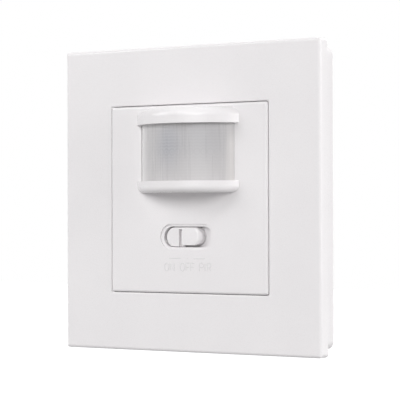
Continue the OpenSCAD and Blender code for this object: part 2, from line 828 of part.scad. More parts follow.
// Centre cover: shell with the lens bay, the slider well, feet, hooks and pegs
module center_cover() {
  color(white_plastic)
    difference() {
      union() {
        difference() {
          soft_plate(insert_w, face_y, insert_back_y, insert_edge_r, insert_edge_r / 2, insert_corner_r);
          slab([0, 0], insert_w - 2 * insert_wall, insert_w - 2 * insert_wall, face_back_y, over);
        }
        four_sides()
          for (side = [-1, 1])
            slab([(insert_w - insert_wall) / 2, side * insert_foot_pos], insert_wall, insert_foot_w,
              face_back_y, flange_front_y);
        bay_form();
        deep(face_back_y - insert_wall / 2, well_back_y)
          translate([0, slider_z])
            stadium(well_l + 2 * well_wall, well_h + 2 * well_wall);
        for (turn = [0, 180])
          for (z = [-insert_hook_pos, insert_hook_pos])
            translate([0, 0, z])
              rotate([0, turn, 0])
                hook(housing_inner_w / 2 - 2 * seat_gap, insert_hook_w, insert_hook_t, insert_hook_barb,
                  face_back_y - insert_wall / 2, hook_catch_y, hook_tip_y);
        for (side = [-1, 1])
          rod([side * retainer_peg_x, retainer_peg_z], retainer_peg_d, face_back_y - insert_wall / 2,
            retainer_back_y + retainer_ear_t + retainer_peg_d / 2);
      }
      bay_hollow();
      translate([0, 0, slider_z]) {
        deep(face_y - over, face_y + ledge_d)
          stadium(well_l + 2 * ledge_end_w, well_h + 2 * ledge_w);
        deep(face_y - over, well_floor_y)
          stadium(well_l, well_h);
        slab([0, 0], stem_l + slider_travel + 2 * stem_slot_gap, stem_h + 2 * seat_gap,
          face_y, well_back_y + over);
      }
    }
}

// Fresnel lens: thin bent sheet with upright grooves between its segments
module fresnel_lens() {
  segment_a = 2 * acos(lens_axis_d / lens_r) / lens_segments;
  groove_r = lens_r - lens_t;
  color(milky_lens)
    difference() {
      intersection() {
        lens_band(groove_r, lens_r, lens_bottom_z - lens_margin, lens_top_z + lens_margin);
        slab([0, lens_z], 2 * lens_r + over, 2 * lens_h, face_y - bay_reach, face_y + lens_tail);
      }
      for (i = [1 : lens_segments - 1])
        translate([0, bay_axis_y, lens_z])
          rotate([0, 0, (i - lens_segments / 2) * segment_a])
            translate([0, -groove_r, 0])
              cube([lens_groove_w, 2 * lens_groove_d, lens_h], center = true);
    }
}

// Lens retainer: curved frame behind the lens with two ears on the cover's pegs
module lens_retainer() {
  inner_r = retainer_r - retainer_t;
  ear_back_y = retainer_back_y + retainer_ear_t;
  ear_end_x = retainer_peg_x + retainer_peg_d / 2 + retainer_ear_edge;
  ear_start_x = sqrt(pow(inner_r, 2) - pow(bay_axis_y - retainer_back_y, 2));
  color(inner_plastic)
    difference() {
      union() {
        intersection() {
          lens_band(inner_r, retainer_r, lens_bottom_z - lens_margin, lens_top_z + lens_margin);
          slab([0, lens_z], 2 * lens_r + over, 2 * lens_h, face_y - bay_reach, ear_back_y);
        }
        for (side = [-1, 1])
          slab([side * (ear_start_x + ear_end_x) / 2, retainer_peg_z], ear_end_x - ear_start_x,
            retainer_ear_h, retainer_back_y, ear_back_y);
      }
      slab([0, lens_z], 2 * lens_r, lens_h + 2 * lens_clear, face_y - bay_reach, face_y + lens_clear);
      for (side = [-1, 1])
        rod([side * retainer_peg_x, retainer_peg_z], retainer_peg_d + seat_gap, retainer_back_y - over,
          ear_back_y + over);
    }
}

// Slider: flanged plate with a raised half-round grip, and a stem that takes the switch lever
module slider_knob() {
  grip_end = (slider_l - slider_h) / 2;
  grip_top_y = face_y - grip_proud;
  grip_rim_y = face_y - grip_rim;
  grip_crown_h = slider_h - 2 * grip_rim;
  groove_end_gap = 0.5;
  plate_back = well_floor_y - slider_float;
  color(white_plastic)
    translate([slider_x, 0, slider_z])
      difference() {
        union() {
          deep(slider_plate_y, plate_back)
            stadium(slider_l, slider_h);
          deep(slider_plate_y + slider_flange_drop, plate_back)
            stadium(slider_l - 2 * slider_flange_w, slider_h + 2 * slider_flange_w);
          intersection() {
            hull() {
              rod([grip_end, 0], slider_h, grip_rim_y, slider_plate_y + grip_rim, $fn = 32);
              rod([grip_start, 0], slider_h, grip_rim_y, slider_plate_y + grip_rim, $fn = 32);
              rod([grip_end - grip_crown_back, 0], grip_crown_h, grip_top_y, grip_rim_y, $fn = 32);
              rod([grip_start, 0], grip_crown_h, grip_top_y, grip_rim_y, $fn = 32);
            }
            slab([grip_start + slider_l / 2, 0], slider_l, slider_h + over, grip_top_y - over, plate_back);
          }
          slab([0, 0], stem_l, stem_h, slider_plate_y + slider_float, stem_back_y);
          slab([0, 0], stem_l, stem_h + 2 * stem_barb, well_back_y + slider_float,
            well_back_y + slider_float + 2 * stem_barb);
        }
        slab([grip_start - grip_groove_w / 2, 0], grip_groove_w, slider_h - 2 * groove_end_gap,
          slider_plate_y - over, slider_plate_y + grip_groove_d);
        slab([0, 0], lever_w + 2 * lever_gap, lever_w + 2 * lever_gap, lever_tip_y - seat_gap,
          stem_back_y + over);
      }
}

// Switch lever: carrier block inside the shell and the tip in the slider's stem
module switch_lever() {
  block_front_y = switch_front_y + switch_shell_t + seat_gap;
  color(dark_plastic)
    translate([slider_x, 0, slider_z]) {
      slab([0, 0], lever_w, lever_w, lever_tip_y, block_front_y + lever_block_d);
      slab([0, 0], lever_block_l, switch_inner_h - 4 * seat_gap, block_front_y,
        block_front_y + lever_block_d);
    }
}

// Switch shell: folded sheet with the lever's slot in front
module switch_shell() {
  color(steel)
    difference() {
      slab(switch_at, switch_l, switch_h, switch_front_y, sensor_board_y);
      slab(switch_at, switch_inner_l, switch_inner_h, switch_front_y + switch_shell_t, sensor_board_y + over);
      slab(switch_at, lever_w + slider_travel + 4 * seat_gap, lever_w + 4 * seat_gap,
        switch_front_y - over, switch_front_y + over);
    }
}

// Switch base: insulating plate with its row of pins
module switch_base() {
  color(phenolic_brown) {
    slab(switch_at, switch_inner_l - seat_gap, switch_inner_h - seat_gap,
      sensor_board_y - switch_base_t, sensor_board_y);
    leads(switch_pins, lead_d, sensor_board_y - lead_d, sensor_board_back_y + lead_tail);
  }
}

// Infrared sensor: metal can with a foot flange, a front aperture and three leads
pir_flange_t = 0.5;
pir_aperture = [4, 3];
pir_window_t = 0.4;
module pir_sensor() {
  color(steel)
    difference() {
      union() {
        rod(pir_at, pir_d, sensor_board_y - pir_h, sensor_board_y);
        rod(pir_at, pir_flange_d, sensor_board_y - pir_flange_t, sensor_board_y);
        leads(pir_leads, lead_d, sensor_board_y - lead_d, sensor_board_back_y + lead_tail);
      }
      slab(pir_at, pir_aperture[0], pir_aperture[1], sensor_board_y - pir_h - over,
        sensor_board_y - pir_h + pir_window_t);
    }
}

// Infrared window: filter plate in the can's aperture
module pir_window() {
  color(filter_grey)
    slab(pir_at, pir_aperture[0] - seat_gap, pir_aperture[1] - seat_gap, sensor_board_y - pir_h,
      sensor_board_y - pir_h + pir_window_t);
}

// Photocell: flat-sided disc on two leads
photocell_t = 2;
photocell_flat = 0.88;
module photocell() {
  front = sensor_board_y - photocell_standoff - photocell_t;
  color(cell_tan) {
    intersection() {
      rod(photocell_at, photocell_d, front, front + photocell_t);
      slab(photocell_at, photocell_d, photocell_d * photocell_flat, front, front + photocell_t);
    }
    leads(photocell_leads, lead_d, front + photocell_t / 2, sensor_board_back_y + lead_tail);
  }
}

// Controller chip: flat package with two rows of feet
chip_t = 1.5;
chip_foot = 1;
chip_feet = 8;
chip_foot_w = 0.45;
chip_pitch = 1.27;
module controller_chip() {
  color(dark_plastic) {
    slab(chip_at, chip_w, chip_l, sensor_board_y - chip_t, sensor_board_y - chip_t / 10);
    for (i = [0 : chip_feet - 1])
      slab(chip_at + [0, (i - (chip_feet - 1) / 2) * chip_pitch], chip_w + 2 * chip_foot, chip_foot_w,
        sensor_board_y - chip_t / 4, sensor_board_y);
  }
}

// Trimmer body: round base with three leads and the rotor's bore
module trimmer_body(at) {
  color(trimmer_blue)
    difference() {
      union() {
        rod(at, trimmer_d, sensor_board_y - trimmer_h, sensor_board_y);
        leads(trimmer_leads(at), lead_d, sensor_board_y - trimmer_h / 2, sensor_board_back_y + lead_tail);
      }
      rod(at, rotor_shaft_d + 2 * running_gap, sensor_board_y - trimmer_h - over,
        sensor_board_y - trimmer_h / 4);
    }
}

// Trimmer rotor: disc with a cross slot and a shaft in the body
rotor_t = 1.3;
rotor_slot_w = 0.7;
module trimmer_rotor(at) {
  seat_y = sensor_board_y - trimmer_h - seat_gap;
  color(white_plastic)
    difference() {
      union() {
        rod(at, rotor_d, seat_y - rotor_t, seat_y);
        rod(at, rotor_shaft_d, seat_y - rotor_t / 2, sensor_board_y - trimmer_h / 2);
      }
      cross_slot(at, rotor_d, rotor_slot_w, seat_y - rotor_t, seat_y - rotor_t / 2);
    }
}

module time_trimmer_body() {
  trimmer_body(time_trimmer_at);
}

module time_trimmer_rotor() {
  trimmer_rotor(time_trimmer_at);
}

module light_trimmer_body() {
  trimmer_body(light_trimmer_at);
}

module light_trimmer_rotor() {
  trimmer_rotor(light_trimmer_at);
}

// Outline shared by the boards and the housing: a square that fits a round wall box
module box_outline(w, d) {
  intersection() {
    square(w, center = true);
    circle(d = d);
  }
}

// Drilled board between two depths
module board(y0, places, big_places, big_d) {
  difference() {
    deep(y0, y0 + board_t)
      box_outline(board_w, board_round_d);
    leads(places, lead_d + 2 * lead_gap, y0 - over, y0 + board_t + over);
    leads(big_places, big_d, y0 - over, y0 + board_t + over);
    leads(post_places, board_screw_d + 2 * screw_gap, y0 - over, y0 + board_t + over);
  }
}

module sensor_board() {
  color(board_green)
    board(sensor_board_y, sensor_leads, [], lead_d);
}

module power_board() {
  color(board_green)
    board(power_board_y, power_leads, terminal_pins, terminal_pin_d + 2 * lead_gap);
}

// Header strip: insulator and pins between the two boards
module header_strip() {
  color(dark_plastic) {
    slab([0, header_z], header_pins * header_spacing, header_spacing, sensor_board_back_y, power_board_y);
    leads(header_places, lead_d, sensor_board_y, power_board_back_y);
  }
}

// Board spacers: tubes between the boards
module board_spacers() {
  color(inner_plastic)
    for (at = post_places)
      difference() {
        rod(at, post_d, sensor_board_back_y, power_board_y);
        rod(at, board_screw_d + 2 * screw_gap, sensor_board_back_y - over, power_board_y + over);
      }
}

// Board screws: through both boards into the housing's posts
board_screw_bite = 6;
module board_screws() {
  color(steel)
    for (at = post_places)
      screw(at, board_screw_d, board_screw_head_d, board_screw_head_h, sensor_board_y,
        power_board_back_y + board_screw_bite, board_screw_d / 4);
}

// Relay: sealed case with six leads
module relay() {
  relay_d = component_depth - relay_floor_gap;
  color(relay_blue) {
    slab(relay_at, relay_l, relay_h, power_board_back_y, power_board_back_y + relay_d);
    leads(relay_leads, lead_d, power_board_y - lead_tail, power_board_back_y + relay_d / 2);
  }
}

// Film capacitor: moulded box on two leads
film_cap_floor_gap = 0.8;
module film_capacitor() {
  film_cap_d = component_depth - film_cap_floor_gap;
  color(film_yellow) {
    slab(film_cap_at, film_cap_l, film_cap_w, power_board_back_y, power_board_back_y + film_cap_d);
    leads(film_cap_leads, lead_d, power_board_y - lead_tail, power_board_back_y + film_cap_d / 2);
  }
}

// Electrolytic capacitor: sleeved can with a rolled neck on two leads
elcap_floor_gap = 1.2;
elcap_neck_l = 1.4;
elcap_neck_d = 0.5;
module electrolytic_capacitor() {
  neck_y = power_board_back_y + elcap_neck_l;
  elcap_h = component_depth - elcap_floor_gap;
  color(sleeve_blue)
    difference() {
      union() {
        rod(elcap_at, elcap_d, power_board_back_y, power_board_back_y + elcap_h);
        leads(elcap_leads, lead_d, power_board_y - lead_tail, neck_y);
      }
      difference() {
        rod(elcap_at, elcap_d + over, neck_y, neck_y + elcap_neck_l);
        rod(elcap_at, elcap_d - 2 * elcap_neck_d, power_board_back_y, power_board_back_y + elcap_h);
      }
    }
}

// Varistor: coated disc standing on its two leads
varistor_t = 3.2;
module varistor() {
  centre_y = power_board_back_y + varistor_d / 2;
  color(varistor_teal) {
    translate([varistor_at[0] - varistor_t / 2, centre_y, varistor_at[1]])
      rotate([0, 90, 0])
        cylinder(h = varistor_t, d = varistor_d);
    leads(varistor_leads, lead_d, power_board_y - lead_tail, centre_y);
  }
}

// Fuse: round can on two leads
fuse_h = 7.2;
module fuse() {
  color(fuse_brown) {
    rod(fuse_at, fuse_d, power_board_back_y, power_board_back_y + fuse_h);
    leads(fuse_leads, lead_d, power_board_y - lead_tail, power_board_back_y + fuse_h / 2);
  }
}

// Rectifier diodes: bodies lying on the board with bent leads
module rectifier_diodes() {
  axis_y = power_board_back_y + diode_body_d / 2;
  color(dark_plastic) {
    for (z = diode_rows)
      translate([diode_x, axis_y, z])
        rotate([0, 90, 0]) {
          cylinder(h = diode_body_l, d = diode_body_d, center = true);
          cylinder(h = diode_span + lead_d, d = lead_d, center = true);
        }
    leads(diode_leads, lead_d, power_board_y - lead_tail, axis_y);
  }
}

// Terminal block: moulded body with clamp pockets, wire entries and screw wells
module terminal_block() {
  color(block_plastic)
    difference() {
      slab([0, terminal_z], terminal_l, terminal_h, power_board_back_y, terminal_back_y);
      for (x = terminal_xs) {
        slab([x, terminal_z], clamp_w, clamp_h, power_board_back_y - over, clamp_pocket_back_y);
        rod([x, wire_z], wire_d, clamp_pocket_back_y - over, terminal_back_y + over);
        rod([x, clamp_screw_z], clamp_head_d + 2 * screw_gap, clamp_seat_y, terminal_back_y + over);
        rod([x, clamp_screw_z], clamp_screw_d + 2 * screw_gap, clamp_pocket_back_y - over,
          clamp_seat_y + over);
      }
    }
}

// Terminal clamps: brass blocks with a wire hole, a screw hole and a solder pin
module terminal_clamps() {
  back_y = clamp_pocket_back_y - seat_gap;
  color(brass)
    for (x = terminal_xs)
      difference() {
        union() {
          slab([x, terminal_z], clamp_w - 2 * seat_gap, clamp_h - 2 * seat_gap, power_board_back_y, back_y);
          rod([x, terminal_z], terminal_pin_d, power_board_y - lead_tail, back_y);
        }
        rod([x, wire_z], wire_d + 2 * seat_gap, power_board_back_y + over, back_y + over);
        rod([x, clamp_screw_z], clamp_screw_d + 2 * screw_gap, power_board_back_y + over, back_y + over);
      }
}

// Terminal screws: driven from behind
clamp_head_h = 1.8;
clamp_screw_bite = 5;
module terminal_screws() {
  color(steel)
    for (x = terminal_xs)
      rotate([0, 0, 180])
        screw([-x, clamp_screw_z], clamp_screw_d, clamp_head_d, clamp_head_h, -clamp_seat_y,
          clamp_screw_bite - clamp_seat_y, clamp_screw_d / 4);
}

// Section of the housing's round corners, swept about the switch's middle axis
module housing_round(d, y0, y1, r) {
  rotate([90, 0, 0])
    rotate_extrude($fn = 180) {
      translate([0, r - y1])
        square([d / 2, y1 - y0 - r]);
      translate([0, -y1])
        square([d / 2 - r, r + over / 10]);
      translate([d / 2 - r, r - y1])
        circle(r);
    }
}

// Rear housing: cup with a flange on the strap, board posts and openings for clamps and hooks
module rear_housing() {
  color(inner_plastic)
    difference() {
      union() {
        intersection() {
          soft_plate(housing_w, flange_front_y, housing_depth, housing_edge_r / 4, housing_edge_r,
            housing_edge_r / 4);
          housing_round(housing_round_d, flange_front_y - over, housing_depth, housing_edge_r);
        }
        deep(flange_front_y, strap_front_y)
          rounded(flange_w, flange_w, insert_corner_r);
      }
      difference() {
        deep(flange_front_y - over, housing_floor_y)
          box_outline(housing_inner_w, housing_inner_d);
        leads(post_places, post_d, power_board_back_y, housing_floor_y + over);
      }
      leads(post_places, board_screw_d + 2 * screw_gap, power_board_back_y - over,
        power_board_back_y + board_screw_bite + over);
      slab([0, terminal_z], terminal_l + 4 * seat_gap, terminal_h + 4 * seat_gap, housing_floor_y - over,
        housing_depth + over);
      for (side = [-1, 1])
        for (z = [-insert_hook_pos, insert_hook_pos])
          slab([side * housing_w / 2, z], 2 * housing_wall + over, insert_hook_w + 4 * seat_gap,
            hook_catch_y - seat_gap, hook_catch_y + hook_window_d);
      for (at = housing_screw_places)
        housing_screw_hole(at);
      for (side = [-1, 1])
        rod([side * claw_screw_x, 0], claw_head_d + 2 * claw_head_gap, flange_front_y - over, 0);
    }
}

// Countersunk hole in the flange
housing_screw_cone = 1;
module housing_screw_hole(at) {
  rod(at, housing_screw_d + 2 * screw_gap, flange_front_y - over, over);
  translate([at[0], flange_front_y + housing_screw_cone, at[1]])
    rotate([90, 0, 0])
      cylinder(h = housing_screw_cone, d1 = housing_screw_d + 2 * screw_gap,
        d2 = housing_screw_head_d + 2 * screw_gap);
}

// Housing screws: countersunk, from the flange into the strap
module housing_screws() {
  color(steel)
    for (at = housing_screw_places)
      difference() {
        union() {
          rod(at, housing_screw_d, flange_front_y + housing_screw_cone / 2, 0);
          translate([at[0], flange_front_y + housing_screw_cone, at[1]])
            rotate([90, 0, 0])
              cylinder(h = housing_screw_cone, d1 = housing_screw_d, d2 = housing_screw_head_d);
        }
        cross_slot(at, housing_screw_head_d, housing_screw_d / 4, flange_front_y,
          flange_front_y + housing_screw_cone / 2);
      }
}

// Mounting strap: pressed sheet with screw slots, an opening for the housing and claw ears
module mounting_strap() {
  color(steel)
    difference() {
      union() {
        deep(strap_front_y, 0)
          rounded(strap_w, strap_w, strap_corner_r);
        for (side = [-1, 1])
          for (z = [-1, 1])
            translate([side * claw_pivot_x, 0, z * (ear_z + ear_t / 2)])
              linear_extrude(height = ear_t, center = true)
                ear_outline();
      }
      deep(strap_front_y - over, over)
        box_outline(housing_w + 2 * strap_gap, housing_round_d + 2 * strap_gap);
      for (at = box_screw_places)
        deep(strap_front_y - over, over)
          translate(at)
            rotate(90)
              stadium(box_slot_l, box_slot_w);
      leads(base_screw_places, base_screw_d + 2 * screw_gap, strap_front_y - over, over);
      leads(housing_screw_places, housing_screw_d + 2 * screw_gap, strap_front_y - over, over);
      for (side = [-1, 1]) {
        rod([side * claw_screw_x, 0], claw_screw_d + 2 * running_gap, strap_front_y - over, over);
        slab([side * strap_w / 2, 0], 2 * strap_notch_d, strap_notch_w, strap_front_y - over, over);
        translate([side * claw_pivot_x, claw_pivot_y, 0])
          cylinder(h = 2 * (ear_z + ear_t) + over, d = claw_pin_d + running_gap / 2, center = true);
      }
    }
}

// Side outline of one bent ear, with its eye around the claw pin
module ear_outline() {
  translate([0, claw_pivot_y])
    circle(claw_eye_r);
  translate([-claw_eye_r, -strap_t / 2])
    square([2 * claw_eye_r, claw_pivot_y + strap_t / 2]);
}

// Claw pins: rivets through the strap's ears
module claw_pins() {
  color(steel)
    for (side = [-1, 1])
      translate([side * claw_pivot_x, claw_pivot_y, 0])
        cylinder(h = 2 * (ear_z + ear_t), d = claw_pin_d, center = true);
}

// Spreading claw: bent lever with an eye, a foot under the claw screw and teeth at the tip
module claw() {
  tooth_pitch = 1.5 * claw_tooth;
  color(steel)
    translate([claw_pivot_x, claw_pivot_y, 0])
      difference() {
        linear_extrude(height = claw_w, center = true) {
          circle(claw_eye_r);
          translate([-claw_foot_l, -claw_t / 2])
            square([claw_foot_l, claw_t]);
          rotate(claw_lean) {
            translate([-claw_t / 2, 0])
              square([claw_t, claw_l]);
            for (i = [1 : claw_teeth])
              translate([claw_t / 2, claw_l - i * tooth_pitch])
                polygon([
                  [-claw_t / 2, 0], [0, 0], [claw_tooth, tooth_pitch], [-claw_t / 2, tooth_pitch]
                ]);
          }
        }
        cylinder(h = claw_w + over, d = claw_pin_d + 2 * running_gap, center = true);
      }
}

module right_claw() {
  claw();
}

module left_claw() {
  rotate([0, 180, 0])
    claw();
}

// Claw screw: turned from the front, its tip bears on the claw's foot
module claw_screw(side) {
  color(steel)
    screw([side * claw_screw_x, 0], claw_screw_d, claw_head_d, claw_head_h, strap_front_y,
      claw_screw_tip_y, claw_head_d / 6);
}

module right_claw_screw() {
  claw_screw(1);
}

module left_claw_screw() {
  claw_screw(-1);
}

cover_frame();
base_frame();
base_screws();
center_cover();
fresnel_lens();
lens_retainer();
slider_knob();
switch_lever();
switch_shell();
switch_base();
pir_sensor();
pir_window();
photocell();
controller_chip();
time_trimmer_body();
time_trimmer_rotor();
light_trimmer_body();
light_trimmer_rotor();
sensor_board();
header_strip();
board_spacers();
board_screws();
power_board();
relay();
film_capacitor();
electrolytic_capacitor();
varistor();
fuse();
rectifier_diodes();
terminal_block();
terminal_clamps();
terminal_screws();
rear_housing();
housing_screws();
mounting_strap();
claw_pins();
left_claw();
right_claw();
left_claw_screw();
right_claw_screw();
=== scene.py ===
import bmesh
import bpy
import numpy as np
from mathutils import Matrix, Vector


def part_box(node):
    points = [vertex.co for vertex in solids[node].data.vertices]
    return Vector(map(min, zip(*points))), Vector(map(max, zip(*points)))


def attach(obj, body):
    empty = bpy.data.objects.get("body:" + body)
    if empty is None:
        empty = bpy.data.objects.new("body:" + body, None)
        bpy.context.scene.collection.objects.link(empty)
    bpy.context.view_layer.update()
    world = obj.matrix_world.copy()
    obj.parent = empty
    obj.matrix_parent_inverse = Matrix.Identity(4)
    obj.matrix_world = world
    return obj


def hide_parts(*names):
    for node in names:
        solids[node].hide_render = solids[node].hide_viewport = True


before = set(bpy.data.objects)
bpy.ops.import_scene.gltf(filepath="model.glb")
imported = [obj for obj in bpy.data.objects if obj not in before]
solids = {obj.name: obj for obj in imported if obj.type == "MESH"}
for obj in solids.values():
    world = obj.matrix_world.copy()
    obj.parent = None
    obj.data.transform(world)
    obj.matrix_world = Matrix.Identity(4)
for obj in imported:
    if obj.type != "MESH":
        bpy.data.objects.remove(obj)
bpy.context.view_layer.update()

mm = 0.001


# Mounting strap: a square of pressed steel sheet with slots for the two box screws.
# It is zinc plated, so it is grey with faint cloudy patches, and rolling leaves fine lines across it.
def feed(tree, node, inputs):
    """Links or sets a node's inputs by name or place."""
    for key, value in inputs.items():
        if isinstance(value, bpy.types.NodeSocket):
            tree.links.new(value, node.inputs[key])
        else:
            node.inputs[key].default_value = value


def node_adder(tree):
    """A function that adds one node to a tree, sets its options and feeds its inputs."""
    def add(kind, inputs, **options):
        node = tree.nodes.new("ShaderNode" + kind)
        for key, value in options.items():
            setattr(node, key, value)
        feed(tree, node, inputs)
        return node

    return add


def open_finish(name):
    """A fresh finish: its material, a function that adds nodes, and one that feeds its shader."""
    finish = bpy.data.materials.new(name)
    finish.use_nodes = True
    tree = finish.node_tree

    def end(inputs):
        feed(tree, tree.nodes["Principled BSDF"], inputs)

    return finish, node_adder(tree), end


def noise(add, scale, detail=2.0, stretch=(1, 1, 1)):
    """Noise in the piece's own coordinates: scale in patches per metre, stretched along an axis."""
    place = add("TexCoord", {}).outputs["Object"]
    stretched = add("Mapping", {"Vector": place, "Scale": stretch}).outputs[0]
    return add("TexNoise", {"Vector": stretched, "Scale": scale, "Detail": detail}).outputs[0]


def blend(add, factor, low, high):
    """Colour between low and high by a factor."""
    mix = add("Mix", {0: factor, 6: (*low, 1), 7: (*high, 1)}, data_type="RGBA")
    return mix.outputs[2]


def span(add, factor, low, high):
    """Number between low and high as a noise goes over its usual range, 0.3 to 0.7."""
    return add("MapRange", {0: factor, 1: 0.3, 2: 0.7, 3: low, 4: high}).outputs[0]


def relief(add, height, depth, strength=1.0):
    """Small relief of the given depth in metres."""
    return add("Bump", {"Height": height, "Distance": depth, "Strength": strength}).outputs[0]


def zinc_plate(name, dark, light, lines=(1, 1, 1)):
    """Plated steel: cloudy tone, and roughness and relief from fine lines along one axis."""
    finish, add, end = open_finish(name)
    cloud = noise(add, 160, 4)
    fine = noise(add, 2600, 3, lines)
    end({
        "Base Color": blend(add, cloud, dark, light), "Metallic": 1.0,
        "Roughness": span(add, fine, 0.30, 0.46), "Normal": relief(add, fine, 6e-6, 0.6),
    })
    return finish


def dress(finish, *names):
    """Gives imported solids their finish."""
    for name in names:
        slots = solids[name].data.materials
        slots.clear()
        slots.append(finish)


strap_zinc = zinc_plate("strap_zinc", (0.52, 0.53, 0.55), (0.66, 0.67, 0.68), (0.08, 1, 1))
dress(strap_zinc, "mounting_strap")


# Spreading claws: bent and toothed steel levers that grip the wall box, one on each side.
# They are stamped from thicker sheet, so their plating is a little duller than the strap's.
claw_zinc = zinc_plate("claw_zinc", (0.50, 0.51, 0.52), (0.62, 0.63, 0.65), (1, 0.15, 1))
dress(claw_zinc, "left_claw", "right_claw")


# Claw pins: short rivets through the strap's ears, set over into small domes at both ends.
# They are turned from steel wire and zinc plated with the claws.
def grid_faces(rows, columns, closed=False):
    """Quads of a grid of points given row by row; closed joins each row's end to its start."""
    index = np.arange(rows * columns).reshape(rows, columns)
    if closed:
        index = np.concatenate([index, index[:, :1]], axis=1)
    quads = [index[:-1, :-1], index[:-1, 1:], index[1:, 1:], index[1:, :-1]]
    return np.stack(quads, axis=-1).reshape(-1, 4)


def turned(profile, sides=48):
    """Skin turned about Z: every profile point (radius, height) goes round a full circle."""
    radius, height = np.array(profile, float).T[..., None]
    a = np.linspace(0, 2 * np.pi, sides, endpoint=False)
    points = np.stack([radius * np.cos(a), radius * np.sin(a), height + 0 * a], axis=-1)
    return points.reshape(-1, 3), grid_faces(len(radius), sides, closed=True)


def make(name, skins, finish, body, crease=32.0):
    """One piece from skins (points in millimetres, quads): closes seams and poles, turns the faces
    outwards, shades smooth below the crease angle, and puts the piece on its body."""
    points, quads, start = [], [], 0
    for skin_points, skin_quads in skins:
        points.append(skin_points)
        quads.append(skin_quads + start)
        start += len(skin_points)
    mesh = bpy.data.meshes.new(name)
    mesh.from_pydata((np.concatenate(points) * mm).tolist(), [], np.concatenate(quads).tolist())
    same_place = 1e-6
    work = bmesh.new()
    work.from_mesh(mesh)
    bmesh.ops.remove_doubles(work, verts=work.verts, dist=same_place)
    bmesh.ops.dissolve_degenerate(work, dist=same_place, edges=work.edges)
    bmesh.ops.recalc_face_normals(work, faces=work.faces)
    work.to_mesh(mesh)
    work.free()
    mesh.shade_smooth()
    mesh.set_sharp_from_angle(angle=np.radians(crease))
    mesh.materials.append(finish)
    piece = bpy.data.objects.new(name, mesh)
    bpy.context.scene.collection.objects.link(piece)
    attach(piece, body)
    return piece


pivot_x, pivot_y = 27.4, 3.4
pin_r, pin_half, dome_r, dome_h = 1.0, 5.4, 1.25, 0.35
quarter = np.linspace(0, np.pi / 2, 7)
pin_dome = np.stack([dome_r * np.cos(quarter), pin_half + dome_h * np.sin(quarter)], axis=-1)
pin_profile = np.concatenate([[[0, 0], [pin_r, 0], [pin_r, pin_half]], pin_dome])
pins = []
for side in (-1, 1):
    for way in (-1, 1):
        pin_points, pin_quads = turned(pin_profile * (1, way))
        pins.append((pin_points + (side * pivot_x, pivot_y, 0), pin_quads))
pin_piece = make("riveted_pins", pins, claw_zinc, "chassis")
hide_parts("claw_pins")


# Claw screws: slotted steel screws, turned from the front, that push the claws apart.
# The thread is rolled and the head is cold formed with a slightly domed top.
def screw_thread(at, y0, y1, core_r, crest_r, pitch):
    """Thread round an axis along Y: the radius at angle a and depth y is a ridge over the core whose
    middle advances one pitch in each turn, and it runs out to the core at both ends."""
    sides, rows_per_turn, ridge_top, ridge_slope = 40, 12, 1.5, 3.4
    a = np.linspace(0, 2 * np.pi, sides, endpoint=False)
    y = np.linspace(y0, y1, int(abs(y1 - y0) / pitch * rows_per_turn) + 2)
    from_middle = np.abs((y[:, None] / pitch - a / (2 * np.pi)) % 1 - 0.5)
    ridge = np.clip(ridge_top - ridge_slope * from_middle, 0, 1)
    fade = np.clip(np.minimum(np.abs(y - y0), np.abs(y1 - y)) / pitch, 0, 1)[:, None]
    radius = core_r + (crest_r - core_r) * ridge * fade
    radius = np.concatenate([0 * radius[:1], radius, 0 * radius[:1]])
    depth = np.concatenate([y[:1], y, y[-1:]])[:, None] + 0 * radius
    points = np.stack([at[0] + radius * np.cos(a), depth, at[1] + radius * np.sin(a)], axis=-1)
    return points.reshape(-1, 3), grid_faces(*depth.shape, closed=True)


def screw_head(at, seat, top, head_r, slot_w, slot_d):
    """Slotted head between depths seat and top: a square grid is bent to a disc, its lines fall on
    the slot's edges, the height is a low dome less the slot, and the rim drops to the seat."""
    land_lines, slot_lines, cross_lines, dome_drop = 9, 3, 25, 0.28
    half = slot_w / (2 * head_r)
    p = np.concatenate([
        np.linspace(-1, -half, land_lines), np.linspace(-half, half, slot_lines),
        np.linspace(half, 1, land_lines)])
    in_slot = np.repeat([False, True, False], [land_lines, slot_lines, land_lines])
    q = np.linspace(-1, 1, cross_lines)
    u = (p[:, None] * np.sqrt(1 - q ** 2 / 2)).ravel()
    v = (q * np.sqrt(1 - p[:, None] ** 2 / 2)).ravel()
    domed = 1 - dome_drop * (u ** 2 + v ** 2) ** 2
    level = seat + (top - seat) * np.where(np.repeat(in_slot, len(q)), 1 - slot_d, domed)
    points = np.stack([at[0] + head_r * v, level, at[1] + head_r * u], axis=-1)
    index = np.arange(len(u)).reshape(len(p), len(q))
    ring = np.concatenate([index[0, :-1], index[:-1, -1], index[-1, :0:-1], index[:0:-1, 0]])
    rim = points[ring]
    foot = rim * (1, 0, 1) + (0, seat, 0)
    centre = np.zeros_like(rim) + (at[0], seat, at[1])
    skirt = np.concatenate([rim, foot, centre])
    return [(points, grid_faces(len(p), len(q))), (skirt, grid_faces(3, len(ring), closed=True))]


screw_zinc = zinc_plate("screw_zinc", (0.54, 0.55, 0.56), (0.70, 0.70, 0.71))
claw_screw_x = 24.2
for side, side_name in ((-1, "left"), (1, "right")):
    spot = (side * claw_screw_x, 0)
    head = screw_head(spot, seat=-1.2, top=-3.0, head_r=2.5, slot_w=0.83, slot_d=0.5)
    thread = screw_thread(spot, y0=-1.4, y1=2.6, core_r=1.14, crest_r=1.4, pitch=0.5)
    claw_screw = make(
        side_name + "_spreading_screw", [*head, thread], screw_zinc, side_name + "_screw")
    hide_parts(side_name + "_claw_screw")


